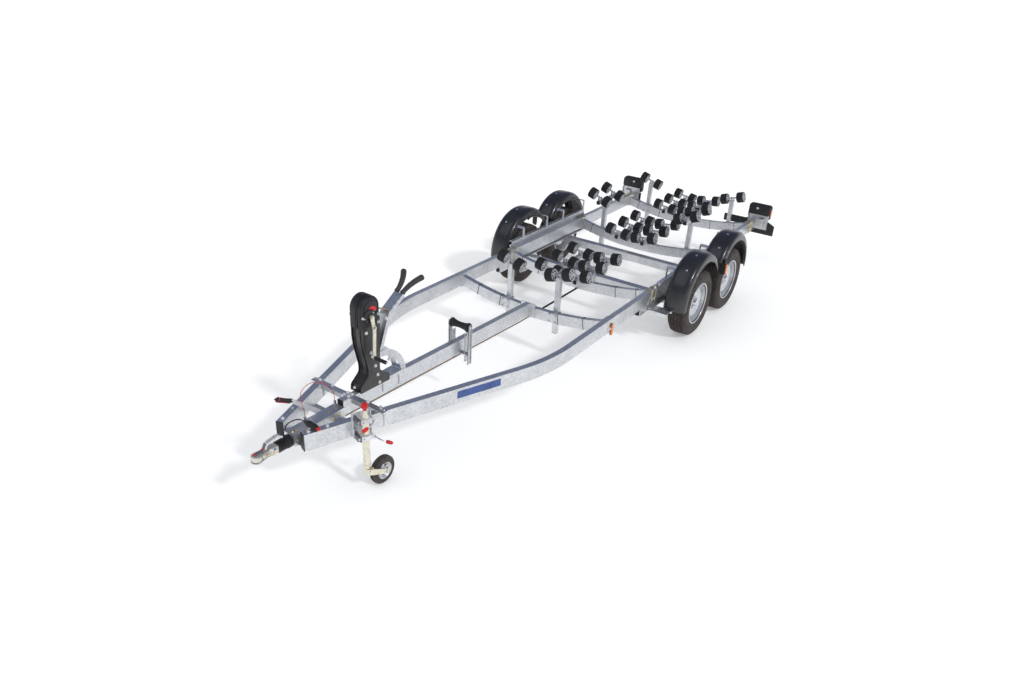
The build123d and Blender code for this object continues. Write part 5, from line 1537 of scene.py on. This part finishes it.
def draw_jockey_fork(bm):
    """Stem, collar and the one-sided arm to the wheel's hub."""
    place = (jockey_x, jockey_y, 0)
    turned(bm, [(154, 0.1), (154, 20.9), (300, 20.9), (300, 0.1)], place, up, 32)
    turned(bm, [(202, 20), (202, 24), (205, 25), (225, 25), (228, 24), (228, 20)], place, up, 32)
    shoe = [(jockey_y - 20, 156), (jockey_y + 20, 156), (jockey_y + 22, 198), (jockey_y - 20, 198)]
    side_plate(bm, shoe, jockey_x + 4, 36)
    arm = capsule((jockey_y + 2, 176), (jockey_wheel_y, jockey_wheel_z), 21, 17)
    side_plate(bm, arm, jockey_x + 36, 10)
    hub = (jockey_x, jockey_wheel_y, jockey_wheel_z)
    turned(bm, [(-33, 0.1), (-33, 8), (-30, 10), (46, 10), (46, 0.1)], hub, (1, 0, 0), 20)
    rod(bm, (jockey_x + 46, *hub[1:]), (jockey_x + 52, *hub[1:]), 11, hex_sides, 1)


def draw_jockey_tyre(bm):
    half = [(22, 60), (26, 61), (29, 66), (30, 76), (29, 86), (25.5, 94), (20, 99.5), (15, 102),
            (12, 102.6), (11, 100.4), (8, 100.4), (7, 102.9), (2, 103), (1.4, 100.6)]
    outline = half + [(-s, r) for s, r in half[::-1]]
    turned(bm, outline, (jockey_x, jockey_wheel_y, jockey_wheel_z), (1, 0, 0), 72)


def draw_jockey_rim(bm):
    """Both faces of a pressed rim with five holes, and its hub."""
    profile = [(25, 63), (27, 61), (26, 58), (21, 55), (14, 50), (9, 42), (8, 34), (9, 28),
               (16, 21), (25, 18), (26, 15), (26, 10.8)]
    for side in (-1, 1):
        pierced_disc(bm, (jockey_x, jockey_wheel_y, jockey_wheel_z), (side, 0, 0), (side, 0, 0),
                     profile, 60, lambda row, cell: row in (5, 6) and cell % 12 < 6)


def clamp_frame():
    """The clamp's foot on the rail's face and its axes: along the rail, away from it and up."""
    along = Vector((sin(drawbar_lean), cos(drawbar_lean), 0))
    away = Vector((cos(drawbar_lean), -sin(drawbar_lean), 0))
    standoff = (jockey_x - leg_face(jockey_y)) * cos(drawbar_lean)
    return Vector((jockey_x, jockey_y, 0)) - away * standoff, along, away, standoff


def draw_clamp_ring(bm, z, depth):
    """One clamp bar round the tube with its bolt, its nuts and its hinge."""
    turned(bm, [(z, 24.6), (z, 31), (z + 34, 31), (z + 34, 24.6)], (0, depth, 0), up, 32)
    for side in (-1, 1):
        block(bm, sorted((side * 30, side * 36)), (5, depth + 24), (z + 2, z + 32))
    # x, start and end away from the rail, height over z, radius, sides and slot
    pins = ((47, 5, depth + 40, 17, 5, 12, 1), (47, depth + 32, depth + 40, 17, 9.5, hex_sides, 1),
            (47, 5, 13, 17, 11, hex_sides, 1), (-52, depth + 14, depth + 21, 18, 9.5, hex_sides, 1),
            (-26, depth + 31, depth + 32, 17, 5, 12, 3))
    for x, start, end, rise, radius, count, slot in pins:
        rod(bm, (x, start, z + rise), (x, end, z + rise), radius, count, slot)
    block(bm, (-62, -38), (5, depth + 14), (z - 2, z + 30), 3)
    rod(bm, (-44, depth + 20, z - 4), (-44, depth + 20, z + 38), 7, 12, 3)
    block(bm, (-40, 54), (depth + 26, depth + 31), (z, z + 34))


def draw_clamp_lever(bm, start, end):
    """A cranked bar with a red barrel grip on its end."""
    start = Vector(start)
    knee = start + (end - start) * 0.3 + Vector((0, 12, -4))
    path = eased([start, knee, end], 14)
    bar(bm, path, 5, 12, 1)
    way = (path[-1] - path[-2]).normalized()
    grip = [path[-1] + way * d for d in (-48, -46, -40, -26, -12, -4, 0, 2)]
    bar(bm, grip, [5, 9, 12.5, 13.5, 12.5, 10, 6, 1], 16, 2)


def draw_clamp(bm):
    """Folded plate, two clamp bars round the tube, bolts, and two cranked levers with red grips."""
    foot, along, away, depth = clamp_frame()
    block(bm, (-65, 65), (0, 5), (420, 598))
    for side in (-1, 1):
        block(bm, sorted((side * 65, side * 60)), (0, 26), (424, 598))
        side_plate(bm, [(26, 424), (34, 440), (34, 470), (26, 486)],
                   side * 65 - (5 if side > 0 else 0), 5)
    for z in (430, 556):
        draw_clamp_ring(bm, z, depth)
    for u in (-42, 42):
        for z in (484, 514, 540):
            rod(bm, (u, 5, z), (u, 12, z), 9.5, hex_sides, 1)
            rod(bm, (u, 5, z), (u, 17, z), 5, 10, 1)
    levers = (((49, depth + 40, 447), (476, -2684, 402)),
              ((49, depth + 36, 573), (384, -2862, 541)))
    for start, tip in levers:
        rel = Vector(tip) - foot
        draw_clamp_lever(bm, start, Vector((rel.dot(along), rel.dot(away), tip[2])))
    stood(bm, foot, along, away, up)


class TRAILER_OT_jockey(bpy.types.Operator):
    """Make the jockey wheel, its fork, tube and knob, and the clamp that holds it"""

    bl_idname = "trailer.jockey"
    bl_label = "Jockey wheel"

    def execute(self, context):
        make_piece("clamp_bars", draw_clamp, "frame", ["bright_steel", "zinc", "red", "dark_steel"],
                   "galvanised", ["jockey_clamp"], 0.6)
        make_piece("jockey_barrel", draw_jockey_tube, "jockey_tube", ["cream_zinc", "red"], "zinc",
                   ["jockey_tube"])
        make_piece("jockey_arm", draw_jockey_fork, "jockey_fork", ["cream_zinc", "zinc"], "zinc",
                   ["jockey_fork"], 1.2)
        make_piece("jockey_tyre", draw_jockey_tyre, "jockey_wheel", ["tyre"], "tyre_rubber",
                   ["jockey_wheel"], smooth=40)
        rim = make_piece("jockey_rim", draw_jockey_rim, "jockey_wheel", ["rim"], "rim_silver",
                         smooth=50)
        thicken(rim, 2.4 * mm, 0)
        return {"FINISHED"}


# Keel roller and its perforated bracket
def draw_keel_roller(bm):
    half = [(14, 25), (40, 27.5), (62, 31.5), (72, 35.5), (76, 38), (84, 38), (87, 36.5), (88, 34),
            (88, 12)]
    outline = [(-s, r) for s, r in half[::-1]] + half
    turned(bm, outline, (0, keel_roller_y, keel_roller_z), (1, 0, 0), 40)


def draw_keel_bracket(bm):
    """Channel uprights with holes, a bar under the keel beam, inner plates and the axle."""
    y, foot, top = keel_roller_y, 297, 639
    for side in (-1, 1):
        perforated(bm, (side * 91, y, foot), up, (0, 1, 0), 9, (38, 34), 6, (side * 5, 0, 0))
        for lip in (-17, 12):
            block(bm, sorted((side * 91, side * 108)), (y + lip, y + lip + 5), (foot, top))
        perforated(bm, (side * 58, y, 310), up, (0, 1, 0), 8, (32, 36), 5.5, (side * 5, 0, 0))
        nuts = ((96, 104, keel_roller_z, 13), (96, 103, 335, 9.5), (63, 71, 545, 9.5))
        for low_x, high_x, z, radius in nuts:
            rod(bm, (side * low_x, y, z), (side * high_x, y, z), radius, hex_sides, 1)
    low = keel_line(y + 22) - 115
    block(bm, (-91, 91), (y - 22, y + 22), (low - 10, low))
    rod(bm, (-96, y, keel_roller_z), (96, y, keel_roller_z), 9, 20)


class TRAILER_OT_keel_roller(bpy.types.Operator):
    """Make the hourglass roller over the keel beam and its perforated bracket"""

    bl_idname = "trailer.keel_roller"
    bl_label = "Keel roller"

    def execute(self, context):
        make_piece("keel_barrel", draw_keel_roller, "keel_roller", ["roller"], "roller_rubber",
                   ["keel_roller"], smooth=30)
        make_piece("keel_uprights", draw_keel_bracket, "frame", ["galvanised", "zinc"],
                   "galvanised", ["keel_roller_bracket"])
        return {"FINISHED"}


# Rear lamps and side markers
def draw_lamp(bm):
    """Moulded housing, three lenses on its back, the edge lens and the rubber flap under it."""
    rounded_block(bm, (690, 952), (536, 714), 34,
                  ((3228, 26), (3229, 14), (3235, 5), (3248, 0), (3284, 0), (3289, 3)))
    for span, slot in (((698, 776), 3), ((780, 862), 2), ((866, 944), 1)):
        rounded_block(bm, span, (546, 704), 14, ((3286, 0), (3297, 0), (3300, 5)), 1, slot)
    rounded_block(bm, (3242, 3284), (577, 676), 12, ((946, 0), (953, 0), (956, 5)), 0, 1)
    rounded_block(bm, (700, 946), (596, 706), 24, ((3210, 8), (3212, 3), (3216, 0), (3229, 0)))
    for x, z in ((746, 668), (846, 640), (906, 672)):
        boss = [(0, 0.1), (0, 15), (5, 13), (5, 7), (3, 6), (3, 0.1)]
        turned(bm, boss, (x, 3210, z), (0, -1, 0), 20)
    cross_plate(bm, [(690, 375), (1026, 375), (1026, 490), (926, 540), (690, 540)], 3228, 6)
    bar(bm, [(694, 3231, 376.5), (1022, 3231, 376.5)], 3.4, 8)


def draw_lamps(bm):
    """Both lamps, and the bar with two small lenses beside the left one."""
    both_sides(draw_lamp)(bm)
    cross_plate(bm, rounded_outline((420, 694), (446, 530), 8), 3228, 7)
    for x in (470, 560):
        rounded_block(bm, (x, x + 50), (506, 526), 6, ((3234, 0), (3248, 0), (3252, 4)), 1, 3)


def draw_lamp_bracket(bm):
    """Folded plate behind the lamp, with a channel bolted to its front."""
    cross_plate(bm, rounded_outline((712, 944), (430, 640), 12), 3222, 6)
    for x in (712, 938):
        block(bm, (x, x + 6), (3202, 3223), (446, 592))
    for x in (832, 896):
        block(bm, (x, x + 5), (3190, 3223), (468, 560))
    block(bm, (832, 901), (3186, 3191), (468, 560))
    rod(bm, (866, 3187, 514), (866, 3178, 514), 10, hex_sides, 1)


def draw_marker(bm, x, y, z):
    """A black base with a round-ended amber lens, its inner face at x."""
    base = ((x, 0), (x + 6, 0), (x + 7, 1))
    lens = ((x + 5, 2), (x + 14, 2), (x + 17, 5), (x + 18, 10))
    for slot, levels in enumerate((base, lens)):
        rounded_block(bm, (y, y + 34), (z, z + 112), 16.5, levels, 0, slot)


def draw_markers(bm):
    """The rail's marker, and the mudguard's with its rubber arm and strip."""
    draw_marker(bm, 800, -348, 386)
    draw_marker(bm, 1120, 1385, 489.6)
    arm = ((645.6, 3), (640, 0), (500, 0), (489.6, 4))
    rounded_block(bm, (1100, 1120), (1385, 1419), 5, arm, 2)
    strap = [(1075, 520), (1082, 489.6), (1102, 489.6), (1102, 595.6), (1075, 595.6)]
    cross_plate(bm, strap, 1385, 6)


class TRAILER_OT_lamps(bpy.types.Operator):
    """Make the rear lamps with their flaps and bar, and the amber side markers"""

    bl_idname = "trailer.lamps"
    bl_label = "Lamps and markers"

    def execute(self, context):
        make_piece("lamp_housings", draw_lamps, "frame",
                   ["plastic", "amber", "red_lens", "clear_lens"], "black_plastic", ["rear_lamps"],
                   1)
        make_piece("bracket_plates", both_sides(draw_lamp_bracket), "frame", ["galvanised", "zinc"],
                   "galvanised", ["lamp_brackets"], 0.8)
        make_piece("marker_lenses", both_sides(draw_markers), "frame", ["plastic", "amber"],
                   "amber_lens", ["side_markers"])
        return {"FINISHED"}


# Clamps that hold the roller posts to the beams, and the brake conduit
post_clamps = (("1", 252), ("3", 512), ("4", 520))


def draw_post_clamp(bm, x, beam):
    """Front plate, two square U-bolts round the post and their nuts."""
    front, rear, top = beam_y[beam], beam_y[beam] + 99, beam_line(x)
    cross_plate(bm, rounded_outline((x - 44, x + 44), (top - 92, top - 4), 6), front - 5, 5)
    for z in (top - 16, top - 80):
        path = [(x - 29, front - 16, z), (x - 29, rear, z), (x + 29, rear, z),
                (x + 29, front - 16, z)]
        bar(bm, eased(path, 9, 5), 5, 10, 1)
        for side in (-1, 1):
            end = x + side * 29
            rod(bm, (end, front - 5, z), (end, front - 13, z), 9.5, hex_sides, 1)


def draw_post_clamps(bm):
    for beam, x in post_clamps:
        draw_post_clamp(bm, x, beam)


def draw_conduit(bm):
    """A corrugated tube along the brake cable, with equal folds."""
    folds, pitch = 70, 14
    outline = [(0, 6.5)]
    for i in range(folds):
        outline += [(pitch * i + s, r) for s, r in ((0, 8), (3, 9.6), (9, 9.6), (12, 8))]
    turned(bm, outline + [(folds * pitch, 6.5)], (0, -330, 322), (0, 1, 0), 12)


class TRAILER_OT_post_clamps(bpy.types.Operator):
    """Make the clamps round the roller posts and the corrugated brake conduit"""

    bl_idname = "trailer.post_clamps"
    bl_label = "Post clamps and conduit"

    def execute(self, context):
        make_piece("post_clamps", both_sides(draw_post_clamps), "frame", ["galvanised", "zinc"],
                   "galvanised")
        make_piece("brake_conduit", draw_conduit, "frame", ["plastic"], "black_plastic", smooth=50)
        return {"FINISHED"}


# Bow stop horns and the winch strap
def draw_horn(bm):
    """A curved rubber club, thicker at its tip, with a collar at its root."""
    way = Vector((0, 148, 95)).normalized()
    root = Vector((26, -2082, 1127))
    tip = Vector((85, -2082, 1127)) + way * 172
    bend = root + way * 90
    shares = [i / 14 for i in range(15)]
    path = [root * (1 - t)**2 + bend * 2 * t * (1 - t) + tip * t**2 for t in shares]
    radii = [13.5 + 8 * t**0.5 for t in shares]
    first = path[0] - (path[1] - path[0]).normalized() * 2
    last = (path[-1] - path[-2]).normalized()
    path = [first] + path + [path[-1] + last * d for d in (7, 12, 15)]
    bar(bm, path, [13.5] + radii + [19, 14, 7], 20)
    rod(bm, root + way * 6, root + way * 20, 19, 24)


class TRAILER_OT_bow_stop(bpy.types.Operator):
    """Make the rubber horns on the arm's tip and give the winch's strap its webbing"""

    bl_idname = "trailer.bow_stop"
    bl_label = "Bow stop"

    def execute(self, context):
        make_piece("stop_horns", both_sides(draw_horn), "frame", ["horn"], "roller_rubber",
                   ["bow_stop_horns"], smooth=45)
        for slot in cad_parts["winch_strap"].material_slots:
            slot.material = finish("webbing")
        return {"FINISHED"}


operators = [
    TRAILER_OT_stage, TRAILER_OT_cords, TRAILER_OT_node_finishes, TRAILER_OT_tyres, TRAILER_OT_rims,
    TRAILER_OT_mudguards, TRAILER_OT_cradles, TRAILER_OT_roller_posts, TRAILER_OT_fasteners,
    TRAILER_OT_post_clamps, TRAILER_OT_winch, TRAILER_OT_bow_stop, TRAILER_OT_coupling,
    TRAILER_OT_handbrake, TRAILER_OT_jockey, TRAILER_OT_keel_roller, TRAILER_OT_lamps,
]


class TRAILER_PT_pieces(bpy.types.Panel):
    bl_idname = "TRAILER_PT_pieces"
    bl_label = "Trailer"
    bl_space_type = "VIEW_3D"
    bl_region_type = "UI"
    bl_category = "Trailer"

    def draw(self, context):
        for group in (context.scene.trailer_sizes, context.scene.trailer_colours):
            box = self.layout.box()
            for key in group.__annotations__:
                box.prop(group, key)
        for kind in operators:
            self.layout.operator(kind.bl_idname)


groups = {"trailer_sizes": TrailerSizes, "trailer_colours": TrailerColours}


def register():
    for kind in [*groups.values(), *operators, TRAILER_PT_pieces]:
        bpy.utils.register_class(kind)
    for name, kind in groups.items():
        setattr(bpy.types.Scene, name, PointerProperty(type=kind))


def unregister():
    for name in groups:
        delattr(bpy.types.Scene, name)
    for kind in [TRAILER_PT_pieces, *operators[::-1], *groups.values()]:
        bpy.utils.unregister_class(kind)


def main():
    register()
    for kind in operators:
        area, name = kind.bl_idname.split(".")
        getattr(getattr(bpy.ops, area), name)()


if __name__ == "__main__":
    main()
